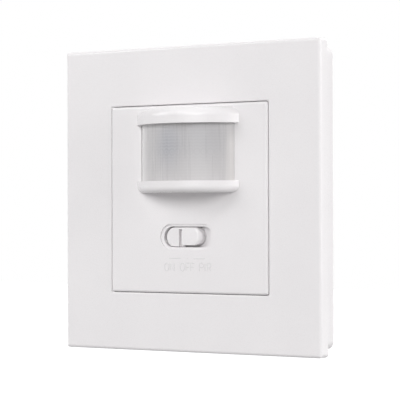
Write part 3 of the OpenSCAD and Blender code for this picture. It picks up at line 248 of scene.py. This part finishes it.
# Rear housing: a moulded cup of heat-resistant plastic that goes into the wall box.
# It has a dull, finely eroded surface. Its back carries a blank raised label field, and raised marks
# for the three wires: N, L and an arrow to the lamp.
def moulded(name, shade, tint, rough, grain):
    """Moulded plastic: colour drifts a little in wide clouds, and a fine eroded grain, its depth in
    metres, sets the roughness and the relief."""
    finish, add, end = open_finish(name)
    cloud = noise(add, 55, 3)
    fine = noise(add, 5200, 2)
    end({
        "Base Color": blend(add, span(add, cloud, 0, 1), shade, tint),
        "Roughness": span(add, fine, rough - 0.05, rough + 0.05), "Normal": relief(add, fine, grain),
    })
    return finish


housing_plastic = moulded("housing_plastic", (0.66, 0.655, 0.63), (0.72, 0.715, 0.69), 0.55, 4e-6)
dress(housing_plastic, "rear_housing", "lens_retainer", "board_spacers")


def bead(path, width, height, closed=False):
    """Raised bead on a face: a half-round section of the given width and height is carried along a
    path (points across the face); an open bead narrows to a round nose at both ends."""
    path = np.array(path, float)
    if closed:
        ahead = np.roll(path, -1, axis=0) - np.roll(path, 1, axis=0)
    else:
        ahead = np.gradient(path, axis=0)
    ahead /= np.linalg.norm(ahead, axis=1, keepdims=True)
    across = np.stack([-ahead[:, 1], ahead[:, 0]], axis=-1)
    run = np.concatenate([[0], np.cumsum(np.linalg.norm(np.diff(path, axis=0), axis=1))])
    nose = np.clip(np.minimum(run, run[-1] - run) / (width / 2), 0, 1)
    scale = np.ones(len(path)) if closed else np.sqrt(1 - (1 - nose) ** 2)
    s = np.linspace(0, np.pi, 9)
    aside = width / 2 * np.cos(s)[:, None] * scale[:, None, None]
    flat = path[:, None, :] + across[:, None, :] * aside
    rise = height * np.sin(s) * scale[:, None]
    if closed:
        flat, rise = np.concatenate([flat, flat[:1]]), np.concatenate([rise, rise[:1]])
    return flat, rise, grid_faces(*rise.shape)


def on_face(beads, face_y, out):
    """Lays beads drawn in X and Z on a face at depth face_y, rising towards out (-1 front, 1 back)."""
    return [
        (np.stack([flat[..., 0], face_y + out * rise, flat[..., 1]], axis=-1).reshape(-1, 3), quads)
        for flat, rise, quads in beads]


def smooth_path(corners, step=0.12):
    """Points every step along straight runs between corners."""
    corners = np.array(corners, float)
    runs = []
    for a, b in zip(corners[:-1], corners[1:]):
        count = max(2, int(np.linalg.norm(b - a) / step))
        runs.append(a + (b - a) * np.linspace(0, 1, count, endpoint=False)[:, None])
    return np.concatenate([*runs, corners[-1:]])


def rounded_loop(w, h, r, centre):
    """Closed path round a rectangle with round corners."""
    a = np.linspace(0, np.pi / 2, 9)
    arc = np.stack([np.cos(a), np.sin(a)], axis=-1) * r
    turn = np.array([[0, -1], [1, 0]])
    parts = []
    for sx, sz in ((1, 1), (-1, 1), (-1, -1), (1, -1)):
        parts.append(arc + np.array([sx * (w / 2 - r), sz * (h / 2 - r)]))
        arc = arc @ turn.T
    return np.concatenate(parts) + np.array(centre)


housing_back_y, mark_sunk = 26.0, 0.02
label_w, label_h, label_r, label_z, label_edge_w, label_edge_h = 26, 13, 1.2, 8.5, 0.5, 0.25
terminal_x, mark_w, mark_h, mark_low, mark_high = 7.0, 0.32, 0.22, -5.6, -3.6
neutral_mark = [(6.3, mark_low), (6.3, mark_high), (7.7, mark_low), (7.7, mark_high)]
live_mark = [(-6.4, mark_high), (-6.4, mark_low), (-7.6, mark_low)]
lamp_shaft = [(0, mark_low), (0, mark_high)]
lamp_point = [(-0.6, -4.3), (0, mark_high), (0.6, -4.3)]
label_path = rounded_loop(label_w, label_h, label_r, (0, label_z))
housing_beads = [bead(label_path, label_edge_w, label_edge_h, closed=True)]
for corners in (neutral_mark, live_mark, lamp_shaft, lamp_point):
    housing_beads.append(bead(smooth_path(corners), mark_w, mark_h))
make("housing_marks", on_face(housing_beads, housing_back_y - mark_sunk, 1),
     housing_plastic, "chassis")


# Terminal block: dark moulded block in the housing's back with three wire entries.
# A brass clamp and a slotted steel screw sit in each pocket, and a collar leads each wire in.
block_plastic = moulded("block_plastic", (0.030, 0.031, 0.033), (0.042, 0.043, 0.045), 0.5, 3e-6)
dress(block_plastic, "terminal_block")


def clamp_brass_finish():
    """Turned brass: warm metal with fine turning lines and slight tarnish in patches."""
    finish, add, end = open_finish("clamp_brass")
    cloud = noise(add, 300, 3)
    fine = noise(add, 3000, 2, (1, 0.1, 1))
    end({
        "Base Color": blend(add, cloud, (0.60, 0.42, 0.14), (0.78, 0.58, 0.24)), "Metallic": 1.0,
        "Roughness": span(add, fine, 0.26, 0.42), "Normal": relief(add, fine, 4e-6, 0.5),
    })
    return finish


dress(clamp_brass_finish(), "terminal_clamps")
block_back_y, wire_z, wire_r, clamp_screw_z = 25.2, -15.4, 1.6, -11.3
collar_half_w, collar_h, collar_sunk = 0.2, 0.25, 0.02
collar_s = np.linspace(0, np.pi, 9)
collar_r = wire_r + collar_half_w - collar_half_w * np.cos(collar_s)
ring_points, ring_quads = turned(np.stack([collar_r, collar_h * np.sin(collar_s)], axis=-1))
collars, clamp_screws = [], []
for x in (-terminal_x, 0, terminal_x):
    collars.append((ring_points[:, [0, 2, 1]] + (x, block_back_y - collar_sunk, wire_z), ring_quads))
    spot = (x, clamp_screw_z)
    clamp_screws += screw_head(spot, seat=20.8, top=22.6, head_r=1.9, slot_w=0.75, slot_d=0.5)
    clamp_screws.append(screw_thread(spot, y0=21.0, y1=15.8, core_r=1.2, crest_r=1.45, pitch=0.5))
make("wire_collars", collars, block_plastic, "chassis")
clamp_screw_piece = make("clamp_screws", clamp_screws, screw_zinc, "chassis")
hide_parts("terminal_screws")


# Circuit boards: glass laminate with a green solder mask over copper tracks.
# The tracks show as slightly lighter, raised lanes under the mask.
def board_mask_finish():
    """Solder mask: green with lighter lanes between the bricks of a brick pattern, glossy and
    slightly raised."""
    finish, add, end = open_finish("board_mask")
    place = add("TexCoord", {}).outputs["Object"]
    lanes = add("TexBrick", {
        "Vector": place, "Scale": 240, "Mortar Size": 0.06, "Color1": (0, 0, 0, 1),
        "Color2": (0.2, 0.2, 0.2, 1), "Mortar": (1, 1, 1, 1)}).outputs[0]
    cloud = noise(add, 120, 3)
    tone = blend(add, cloud, (0.012, 0.085, 0.035), (0.018, 0.115, 0.050))
    lane_tone = add("Mix", {0: lanes, 6: tone, 7: (0.03, 0.17, 0.07, 1)}, data_type="RGBA").outputs[2]
    end({
        "Base Color": lane_tone, "Roughness": span(add, cloud, 0.26, 0.4),
        "Normal": relief(add, lanes, 2e-5, 0.6),
    })
    return finish


dress(board_mask_finish(), "sensor_board", "power_board")


# Board parts: relay, capacitors, varistor, fuse, diodes, chip, trimmers and header on the boards.
# Each is a moulded or dipped case soldered in by its leads; the boards are held by four steel screws.
case_finishes = (
    ("relay_case", (0.012, 0.055, 0.200), (0.016, 0.070, 0.240), 0.32, ("relay",)),
    ("trimmer_case", (0.015, 0.080, 0.290), (0.020, 0.100, 0.340), 0.35,
     ("time_trimmer_body", "light_trimmer_body")),
    ("film_case", (0.50, 0.27, 0.018), (0.58, 0.33, 0.026), 0.36, ("film_capacitor",)),
    ("can_sleeve", (0.010, 0.018, 0.045), (0.014, 0.024, 0.056), 0.22, ("electrolytic_capacitor",)),
    ("varistor_coat", (0.010, 0.105, 0.165), (0.014, 0.130, 0.200), 0.28, ("varistor",)),
    ("fuse_case", (0.055, 0.016, 0.006), (0.070, 0.022, 0.008), 0.34, ("fuse",)),
    ("epoxy_case", (0.006, 0.006, 0.007), (0.010, 0.010, 0.011), 0.45,
     ("rectifier_diodes", "controller_chip", "header_strip", "switch_lever")),
    ("rotor_plastic", (0.70, 0.69, 0.66), (0.76, 0.75, 0.72), 0.42,
     ("time_trimmer_rotor", "light_trimmer_rotor")),
    ("cell_ceramic", (0.46, 0.34, 0.14), (0.54, 0.41, 0.19), 0.5, ("photocell",)),
    ("pressed_laminate", (0.105, 0.042, 0.015), (0.135, 0.058, 0.022), 0.5, ("switch_base",)),
)
case_grain = 2e-6
for case_name, shade, tint, rough, names in case_finishes:
    dress(moulded(case_name, shade, tint, rough, case_grain), *names)
dress(screw_zinc, "board_screws", "housing_screws", "base_screws")
dress(strap_zinc, "switch_shell")


# Infrared sensor: nickel-plated can with a dark filter window, on the front board behind the lens.
# The can is deep drawn, so it is smooth and bright; the window is a polished silicon plate.
def nickel_can_finish():
    """Nickel plate: bright and slightly warm, with faint drawing lines along the can."""
    finish, add, end = open_finish("nickel_can")
    fine = noise(add, 900, 2, (1, 0.1, 1))
    end({
        "Base Color": blend(add, fine, (0.60, 0.58, 0.54), (0.70, 0.68, 0.64)), "Metallic": 1.0,
        "Roughness": span(add, fine, 0.16, 0.26), "Normal": relief(add, fine, 3e-6, 0.4),
    })
    return finish


dress(nickel_can_finish(), "pir_sensor")
dress(moulded("filter_window", (0.020, 0.020, 0.028), (0.028, 0.028, 0.038), 0.12, 1e-6), "pir_window")


# Fresnel lens: thin bent sheet of milky polyethylene, held behind the lips by the lens frame.
# It is pressed in narrow upright segments, nearly flat each, with fine ring grooves on the inside.
def milky_sheet_finish():
    """Milky sheet: grey-white, each segment a shade apart with a fine line between them, fine rings of
    light and dark, painted shade as bluish fields on the front-facing middle and at the upper right,
    painted light as a warm, lighter foot and a pale top edge lifting the upper lip's shadow, and
    painted pale light at both ends where the sheet turns away."""
    finish, add, end = open_finish("milky_sheet")
    place = add("TexCoord", {}).outputs["Object"]

    def field(centre, reach):
        """One at a centre, falling to nothing at a reach along each axis, both in millimetres."""
        centred = add("Mapping", {
            "Vector": place, "Location": [-c / r for c, r in zip(centre, reach)],
            "Scale": [1 / (r * mm) for r in reach]}).outputs[0]
        near = add("TexGradient", {0: centred}, gradient_type="SPHERICAL").outputs["Fac"]
        return add("MapRange", {0: near}, interpolation_type="SMOOTHSTEP").outputs[0]

    def ramp(value, start, full):
        """Nothing at the start and one at the full value."""
        return add("MapRange", {0: value, 1: start, 2: full}).outputs[0]

    def both(one, other):
        """Product of two factors."""
        return add("Math", {0: one, 1: other}, operation="MULTIPLY").outputs[0]

    def over(factor, share, under, tone):
        """Lays a tone over a colour by a share of a factor."""
        part = both(factor, share)
        return add("Mix", {0: part, 6: under, 7: (*tone, 1)}, data_type="RGBA").outputs[2]

    along, _, height = add("SeparateXYZ", {0: place}).outputs
    segment_map = add("UVMap", {}, uv_map="segments").outputs[0]
    across = add("SeparateXYZ", {0: segment_map}).outputs[0]
    line = ramp(add("Math", {0: across}, operation="ABSOLUTE").outputs[0], 0.74, 0.87)
    rings = add("TexWave", {"Vector": segment_map, "Scale": 0.40},
                wave_type="RINGS", rings_direction="SPHERICAL").outputs[0]
    streak = noise(add, 1100, 3, (1, 1, 0.04))
    shade = add("Attribute", {}, attribute_name="segment_shade").outputs["Fac"]
    # Painted shade: two bluish fields darken the front-facing middle and the upper right of the sheet.
    painted_front_shade = field((-1.2, -16.2, 13.8), (5.9, 60, 9.5))
    wide = field((7.8, -14.5, 16.0), (9.5, 60, 10))
    # Painted light: the top edge is lightened against the upper lip's shadow, and the foot is lighter
    # and warm from light off the lower lip.
    painted_brow_light = field((-6.0, -13.0, 19.6), (17, 60, 2.0))
    foot = ramp(height, 0.0125, 0.0045)
    # Painted light: both ends of the sheet are paler where it turns away, the right one fading towards
    # the top.
    painted_left_light = ramp(along, -0.0090, -0.0138)
    painted_right_light = both(ramp(along, 0.0126, 0.0140), ramp(height, 0.0200, 0.0140))
    tone = blend(add, shade, (0.492, 0.481, 0.487), (0.508, 0.497, 0.503))
    tone = over(streak, 0.04, tone, (0.56, 0.548, 0.555))
    # Painted shade in the two bluish fields, then painted light at the foot, along the top edge and at
    # both ends.
    tone = over(painted_front_shade, 0.75, tone, (0.338, 0.344, 0.378))
    tone = over(wide, 0.6, tone, (0.39, 0.386, 0.402))
    tone = over(foot, 0.6, tone, (0.575, 0.556, 0.56))
    tone = over(painted_brow_light, 0.95, tone, (0.78, 0.76, 0.765))
    tone = over(painted_left_light, 0.9, tone, (0.80, 0.785, 0.785))
    tone = over(painted_right_light, 0.8, tone, (0.68, 0.655, 0.645))
    tone = over(line, 0.07, tone, (0.60, 0.59, 0.60))
    tone = over(rings, 0.10, tone, (0.66, 0.65, 0.66))
    tone = over(both(rings, painted_front_shade), 0.4, tone, (0.50, 0.50, 0.52))
    end({
        "Base Color": tone, "Roughness": span(add, streak, 0.26, 0.30),
        "Normal": relief(add, rings, 6e-6, 0.4),
    })
    return finish


lens_axis_y, lens_r, lens_t, lens_half = 2.25, 18.5, 0.6, np.radians(63.3)
lens_z0, lens_z1, lens_mid_z, lens_rows = 3.5, 20.5, 12.0, 25
segment_a, segment_count, segment_steps, flatness = np.radians(5.43), 23, 12, 0.4
shade_step, shade_start = 2.4, 0.7


def lens_sheet():
    """Bent sheet: at angle t the outer radius is the cylinder's less a share of the sag to the
    chord of its segment, and the inner radius is smaller by the sheet's thickness."""
    half_count = segment_count / 2
    steps = np.linspace(-half_count, half_count, segment_count * segment_steps + 1)
    t = np.concatenate([[-lens_half], steps * segment_a, [lens_half]])
    z = np.linspace(lens_z0, lens_z1, lens_rows)[:, None]
    local = (t + segment_a / 2) % segment_a - segment_a / 2
    sag = lens_r * (1 - np.cos(segment_a / 2) / np.cos(local))
    outer = lens_r - flatness * sag
    around = np.concatenate([outer, (lens_r - lens_t) * np.ones_like(t)])
    angle = np.concatenate([t, t[::-1]])
    points = np.stack([
        around * np.sin(angle) + 0 * z, lens_axis_y - around * np.cos(angle) + 0 * z, z + 0 * angle],
        axis=-1)
    wall = (points.reshape(-1, 3), grid_faces(len(z), len(angle), closed=True))
    ends = []
    for row in (0, -1):
        edge = np.stack([points[row, :len(t)], points[row, :len(t) - 1:-1]], axis=0)
        ends.append((edge.reshape(-1, 3), grid_faces(2, len(t))))
    return [wall, *ends]


lens_piece = make("milky_lens", lens_sheet(), milky_sheet_finish(), "chassis", crease=40)
lens_mesh = lens_piece.data
lens_points = np.empty(len(lens_mesh.vertices) * 3, np.float32)
lens_mesh.vertices.foreach_get("co", lens_points)
lens_points = lens_points.reshape(-1, 3) / mm
lens_angle = np.arctan2(lens_points[:, 0], lens_axis_y - lens_points[:, 1])
face_centre = np.empty(len(lens_mesh.polygons) * 3, np.float32)
lens_mesh.polygons.foreach_get("center", face_centre)
face_x, face_depth, _ = face_centre.reshape(-1, 3).T / mm
face_segment = np.floor(np.arctan2(face_x, lens_axis_y - face_depth) / segment_a + 0.5)
segment_shade = (0.5 + 0.5 * np.sin(shade_step * face_segment + shade_start)).astype(np.float32)
lens_mesh.attributes.new("segment_shade", "FLOAT", "FACE").data.foreach_set("value", segment_shade)
face_corners = np.empty(len(lens_mesh.polygons), np.int32)
lens_mesh.polygons.foreach_get("loop_total", face_corners)
corner_vertex = np.empty(len(lens_mesh.loops), np.int32)
lens_mesh.loops.foreach_get("vertex_index", corner_vertex)
corner_u = (lens_angle[corner_vertex] - np.repeat(face_segment, face_corners) * segment_a) * lens_r
lens_uv = np.stack([corner_u, lens_points[corner_vertex, 2] - lens_mid_z], axis=-1)
lens_mesh.uv_layers.new(name="segments").data.foreach_set("uv", lens_uv.astype(np.float32).ravel())
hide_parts("fresnel_lens")


# Centre cover, cover frame and base frame: white impact-resistant plastic, all one colour.
# They are injection moulded with a satin surface; the covers snap in, the base frame is screwed on.
white_plastic = moulded("white_plastic", (0.798, 0.778, 0.788), (0.818, 0.798, 0.806), 0.30, 1e-6)
dress(white_plastic, "center_cover", "base_frame", "cover_frame")


# Slider: white plastic cap with a raised half-round grip, moulded in one piece with its stem.
# It slides in the cover's well on a low flange, and the stem's socket takes the switch lever.
slider_x, slider_z, slider_l, slider_h = -1.3, -9.9, 11.5, 4.8
plate_y, plate_back_y, plate_edge = -8.5, -7.23, 0.12
flange_y, flange_w = -8.1, 0.22
groove_x, groove_y, web = -1.9, -7.4, 0.45
grip_x, grip_y, grip_edge, grip_end, grip_fall = -0.2, -9.65, 0.25, 1.5, 1.6
under_edge, under_gap, sag = 0.12, 0.2, 0.15
stem_l, stem_h, stem_edge, stem_front_y = 3.2, 3.0, 0.1, -7.6
stem_back_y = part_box("slider_knob")[1].y / mm
rib_h, rib_y0, rib_y1 = 3.8, -5.77, -4.97
socket_w, socket_d = 2.1, 2.1


def slider_cap():
    """Closed skin on a stadium plan: rows run from the middle line of the back, out round the flange
    and in over the top. The top's level is the plate's, the groove's or the grip's by its place along
    the slider, and it falls to the rim along a quarter ellipse, which is widest at the grip's end.
    The groove stops at a thin web above, and the cap sags to the lower wall of its well."""
    side_points, turn_points, bend_rows, flat_rows = 60, 39, 13, 5
    wall, end_power = 0.01, 1.5
    radius, reach = slider_h / 2, (slider_l - slider_h) / 2
    walls = [groove_x - wall, groove_x + wall, grip_x - wall, grip_x + wall]
    side = np.sort(np.concatenate([np.linspace(-reach, reach, side_points), walls]))
    turn = np.linspace(-np.pi / 2, np.pi / 2, turn_points + 2)[1:-1]
    axis = np.concatenate([side, np.full_like(turn, reach), side[::-1], np.full_like(turn, -reach)])
    below, above = np.full_like(side, -np.pi / 2), np.full_like(side, np.pi / 2)
    facing = np.concatenate([below, turn, above, np.pi + turn])
    out_x, out_z = np.cos(facing), np.sin(facing)
    on_grip = axis > grip_x
    level = np.where(on_grip, grip_y, np.where(axis > groove_x, groove_y, plate_y))
    end_share, under_share = np.maximum(out_x, 0) ** end_power, np.maximum(-out_z, 0)
    side_edge = grip_edge + (under_edge - grip_edge) * under_share
    width = np.where(on_grip, side_edge + (grip_end - side_edge) * end_share, plate_edge)
    fall = np.where(on_grip, side_edge + (grip_fall - side_edge) * end_share, plate_edge)
    rim_level = np.where((level == groove_y) & (out_z > 0), plate_y, level)
    rim = radius + under_share * np.where(on_grip, -under_gap, sag)
    flange = np.where(on_grip & (out_z < 0), rim, radius + flange_w * np.abs(out_z))
    inner = rim - np.maximum(width, web)
    bend = np.linspace(0, np.pi / 2, bend_rows)[:, None]
    flat = np.linspace(0, 1, flat_rows + 1)[1:, None]
    off = np.concatenate([
        [0 * axis, flange, flange], rim - width * (1 - np.cos(bend)),
        [inner, inner - wall], (inner - wall) * (1 - flat)])
    back = plate_back_y + 0 * axis
    depth = np.concatenate([
        [back, back, flange_y + 0 * axis], rim_level + fall * (1 - np.sin(bend)),
        [rim_level, level], level + 0 * flat])
    points = np.stack([slider_x + axis + off * out_x, depth, slider_z + off * out_z], axis=-1)
    return points.reshape(-1, 3), grid_faces(*depth.shape, closed=True)


def slider_stem():
    """Stepped bar: rectangles carried back from inside the plate, over the snap ribs and into the
    socket."""
    rows = [
        (stem_front_y, 0, 0), (stem_front_y, stem_l, stem_h), (rib_y0, stem_l, stem_h),
        (rib_y0, stem_l, rib_h), (rib_y1, stem_l, rib_h), (rib_y1, stem_l, stem_h),
        (stem_back_y, stem_l, stem_h), (stem_back_y, socket_w, socket_w),
        (stem_back_y - socket_d, socket_w, socket_w), (stem_back_y - socket_d, 0, 0)]
    loops = np.stack([rounded_loop(w, h, min(w, stem_edge), (slider_x, slider_z)) for _, w, h in rows])
    depth = np.array([row[0] for row in rows])[:, None] + 0 * loops[..., 0]
    points = np.stack([loops[..., 0], depth, loops[..., 1]], axis=-1)
    return points.reshape(-1, 3), grid_faces(*depth.shape, closed=True)


slider_piece = make(
    "slider_cap", [slider_cap(), slider_stem()], white_plastic, "slider")
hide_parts("slider_knob")


# Legend: the slider's positions in low raised lettering, moulded with the centre cover.
# The strokes carry painted shade: their colour is a shade darker than the cover's.
# Two lines and a dot lead to the three words.
def letter(name):
    """Strokes of one letter in a cell 0.62 wide and 1 high, each with whether it is a closed loop."""
    a = np.linspace(0, 2 * np.pi, 40, endpoint=False)
    oval = np.stack([0.31 + 0.31 * np.cos(a), 0.5 + 0.5 * np.sin(a)], axis=-1)
    h = np.linspace(np.pi / 2, -np.pi / 2, 16)
    bowl = np.concatenate([
        [[0, 1], [0.15, 1]], np.stack([0.30 + 0.26 * np.cos(h), 0.74 + 0.26 * np.sin(h)], axis=-1),
        [[0.15, 0.48], [0, 0.48]]])
    strokes = {
        "O": [(oval, True)],
        "N": [([(0, 0), (0, 1), (0.62, 0), (0.62, 1)], False)],
        "F": [([(0, 0), (0, 1), (0.56, 1)], False), ([(0, 0.5), (0.46, 0.5)], False)],
        "P": [([(0, 0), (0, 1)], False), (bowl, False)],
        "I": [([(0.1, 0), (0.1, 1)], False)],
        "R": [([(0, 0), (0, 1)], False), (bowl, False), ([(0.26, 0.48), (0.6, 0)], False)],
    }
    return strokes[name]


face_y, legend_sunk = -9.25, 0.01
letter_h, stroke_w, stroke_h = 2.1, 0.28, 0.08
word_z, mark_line_z = -18.8, -15.5
advance = {"O": 1.75, "N": 1.65, "F": 1.5, "P": 1.5, "I": 0.85, "R": 1.6}
letter_gap = 0.3
legend = []
for word, middle in (("ON", -5.7), ("OFF", 0.0), ("PIR", 5.6)):
    steps = np.cumsum([0, *(advance[sign] for sign in word)])
    start = middle - (steps[-1] - letter_gap) / 2
    for sign, step in zip(word, steps):
        for stroke, is_loop in letter(sign):
            drawn = np.array(stroke, float) * letter_h + (start + step, word_z)
            legend.append(bead(drawn if is_loop else smooth_path(drawn), stroke_w, stroke_h, is_loop))
for line_start, line_end in ((-5.9, -2.0), (-0.25, 0.15), (1.85, 5.5)):
    mark_line = smooth_path([(line_start, mark_line_z), (line_end, mark_line_z)])
    legend.append(bead(mark_line, stroke_w, stroke_h))
# Painted shade: the strokes' colour is a shade darker than the cover's.
legend_plastic = moulded("legend_plastic", (0.71, 0.695, 0.703), (0.73, 0.715, 0.723), 0.3, 1e-6)
make("position_legend", on_face(legend, face_y + legend_sunk, -1),
     legend_plastic, "chassis")


# Studio: a pale floor well below the switch, six soft lamps round it, and a soft sky behind it.
# The floor and the sky show white to the camera, to gloss and to glass. The floor keeps the object's
# shadow, and it is clear from below, so that the underside of the object can be seen.
def seen_directly(add):
    """One for rays from the camera, from gloss and through glass, and nothing for light."""
    path = add("LightPath", {}).outputs
    either = add("Math", {0: path["Is Camera Ray"], 1: path["Is Glossy Ray"]}, operation="MAXIMUM")
    any_of = add("Math", {0: either.outputs[0], 1: path["Is Transmission Ray"]}, operation="MAXIMUM")
    return any_of.outputs[0]


floor_z, floor_half, floor_tone = -0.16, 3.0, (0.36, 0.36, 0.36, 1)
glow_far, glow_near = 1.0, 0.63
floor_corners = [
    (x * floor_half, y * floor_half, floor_z) for x, y in ((-1, -1), (1, -1), (1, 1), (-1, 1))]
floor_mesh = bpy.data.meshes.new("studio_floor")
floor_mesh.from_pydata(floor_corners, [], [(0, 1, 2, 3)])
floor = bpy.data.objects.new("studio_floor", floor_mesh)
bpy.context.scene.collection.objects.link(floor)
floor_finish, add, end = open_finish("floor_white")
floor_place = add("TexCoord", {}).outputs["Object"]
floor_plan = add("Mapping", {"Vector": floor_place, "Scale": (1, 1, 0)}).outputs[0]
under_object = add("TexGradient", {0: floor_plan}, gradient_type="SPHERICAL").outputs["Fac"]
glow_level = add("MapRange", {0: under_object, 3: glow_far, 4: glow_near}).outputs[0]
floor_glow = add("Math", {0: seen_directly(add), 1: glow_level}, operation="MULTIPLY").outputs[0]
underside = add("NewGeometry", {}).outputs["Backfacing"]
floor_cover = add("Math", {0: 1.0, 1: underside}, operation="SUBTRACT").outputs[0]
end({
    "Base Color": floor_tone, "Roughness": 0.9, "Specular IOR Level": 0.1,
    "Emission Color": (1, 1, 1, 1), "Emission Strength": floor_glow, "Alpha": floor_cover,
})
floor_mesh.materials.append(floor_finish)

world = bpy.data.worlds.new("studio_sky")
world.use_nodes = True
bpy.context.scene.world = world
sky_tree = world.node_tree
sky_add = node_adder(sky_tree)
sky_rear = (0.0, 0.54, 0.0)
sky_way = sky_add("TexCoord", {}).outputs["Generated"]
rearward = sky_add("VectorMath", {0: sky_way, 1: sky_rear}, operation="DOT_PRODUCT").outputs["Value"]
sky_level = sky_add("Math", {0: rearward, 1: 0.0}, operation="MAXIMUM").outputs[0]
sky_strength = sky_add(
    "Mix", {0: seen_directly(sky_add), 2: sky_level, 3: 1.0}, data_type="FLOAT").outputs[0]
feed(sky_tree, sky_tree.nodes["Background"], {"Color": (1, 1, 1, 1), "Strength": sky_strength})

lamp_size = 1.0
for lamp_name, lamp_place, power in (
        ("front_lamp", (0.49, -2.31, 0.81), 27.0),
        ("left_lamp", (-1.78, -1.49, 0.94), 19.6),
        ("high_lamp", (-0.59, -1.82, 1.61), 12.9),
        ("right_lamp", (2.45, -0.21, 0.43), 29.0),
        ("rear_lamp", (1.86, 1.30, 1.06), 11.0),
        ("top_lamp", (0.96, 0.80, 2.17), 30.0)):
    lamp = bpy.data.lights.new(lamp_name, "AREA")
    lamp.shape = "SQUARE"
    lamp.size = lamp_size
    lamp.energy = power
    holder = bpy.data.objects.new(lamp_name, lamp)
    holder.location = lamp_place
    holder.rotation_mode = "QUATERNION"
    holder.rotation_quaternion = (-Vector(lamp_place)).to_track_quat("-Z", "Y")
    bpy.context.scene.collection.objects.link(holder)


# Camera: a long lens, level with the switch and well to the right of it, about 34 degrees.
# It looks at the middle of the cover frame, and a small shift puts that where the photograph has it.
view_turn, view_rise, view_roll = np.radians(34.35), np.radians(-0.48), np.radians(-0.16)
view_distance, view_focal_px, image_px, sensor_w = 0.4948, 1901.8, 400, 36
target, target_px = Vector((0, -0.0090, 0)), (187.9, 198.8)
back = Vector((
    np.sin(view_turn) * np.cos(view_rise), -np.cos(view_turn) * np.cos(view_rise), np.sin(view_rise)))
flat_right = Vector((np.cos(view_turn), np.sin(view_turn), 0))
right = flat_right * np.cos(view_roll) + back.cross(flat_right) * np.sin(view_roll)
up = back.cross(right)
stand = [t + b * view_distance for t, b in zip(target, back)]
photo_lens = bpy.data.cameras.new("photo_camera")
photo_lens.sensor_width = sensor_w
photo_lens.lens = view_focal_px / image_px * sensor_w
photo_lens.shift_x = (image_px / 2 - target_px[0]) / image_px
photo_lens.shift_y = (target_px[1] - image_px / 2) / image_px
photo_lens.clip_start, photo_lens.clip_end = 0.01, 20
camera = bpy.data.objects.new("photo_camera", photo_lens)
camera.matrix_world = Matrix((
    (right.x, up.x, back.x, stand[0]),
    (right.y, up.y, back.y, stand[1]),
    (right.z, up.z, back.z, stand[2]),
    (0, 0, 0, 1)))
bpy.context.scene.collection.objects.link(camera)
bpy.context.scene.camera = camera
bpy.context.scene.view_settings.view_transform = "Standard"
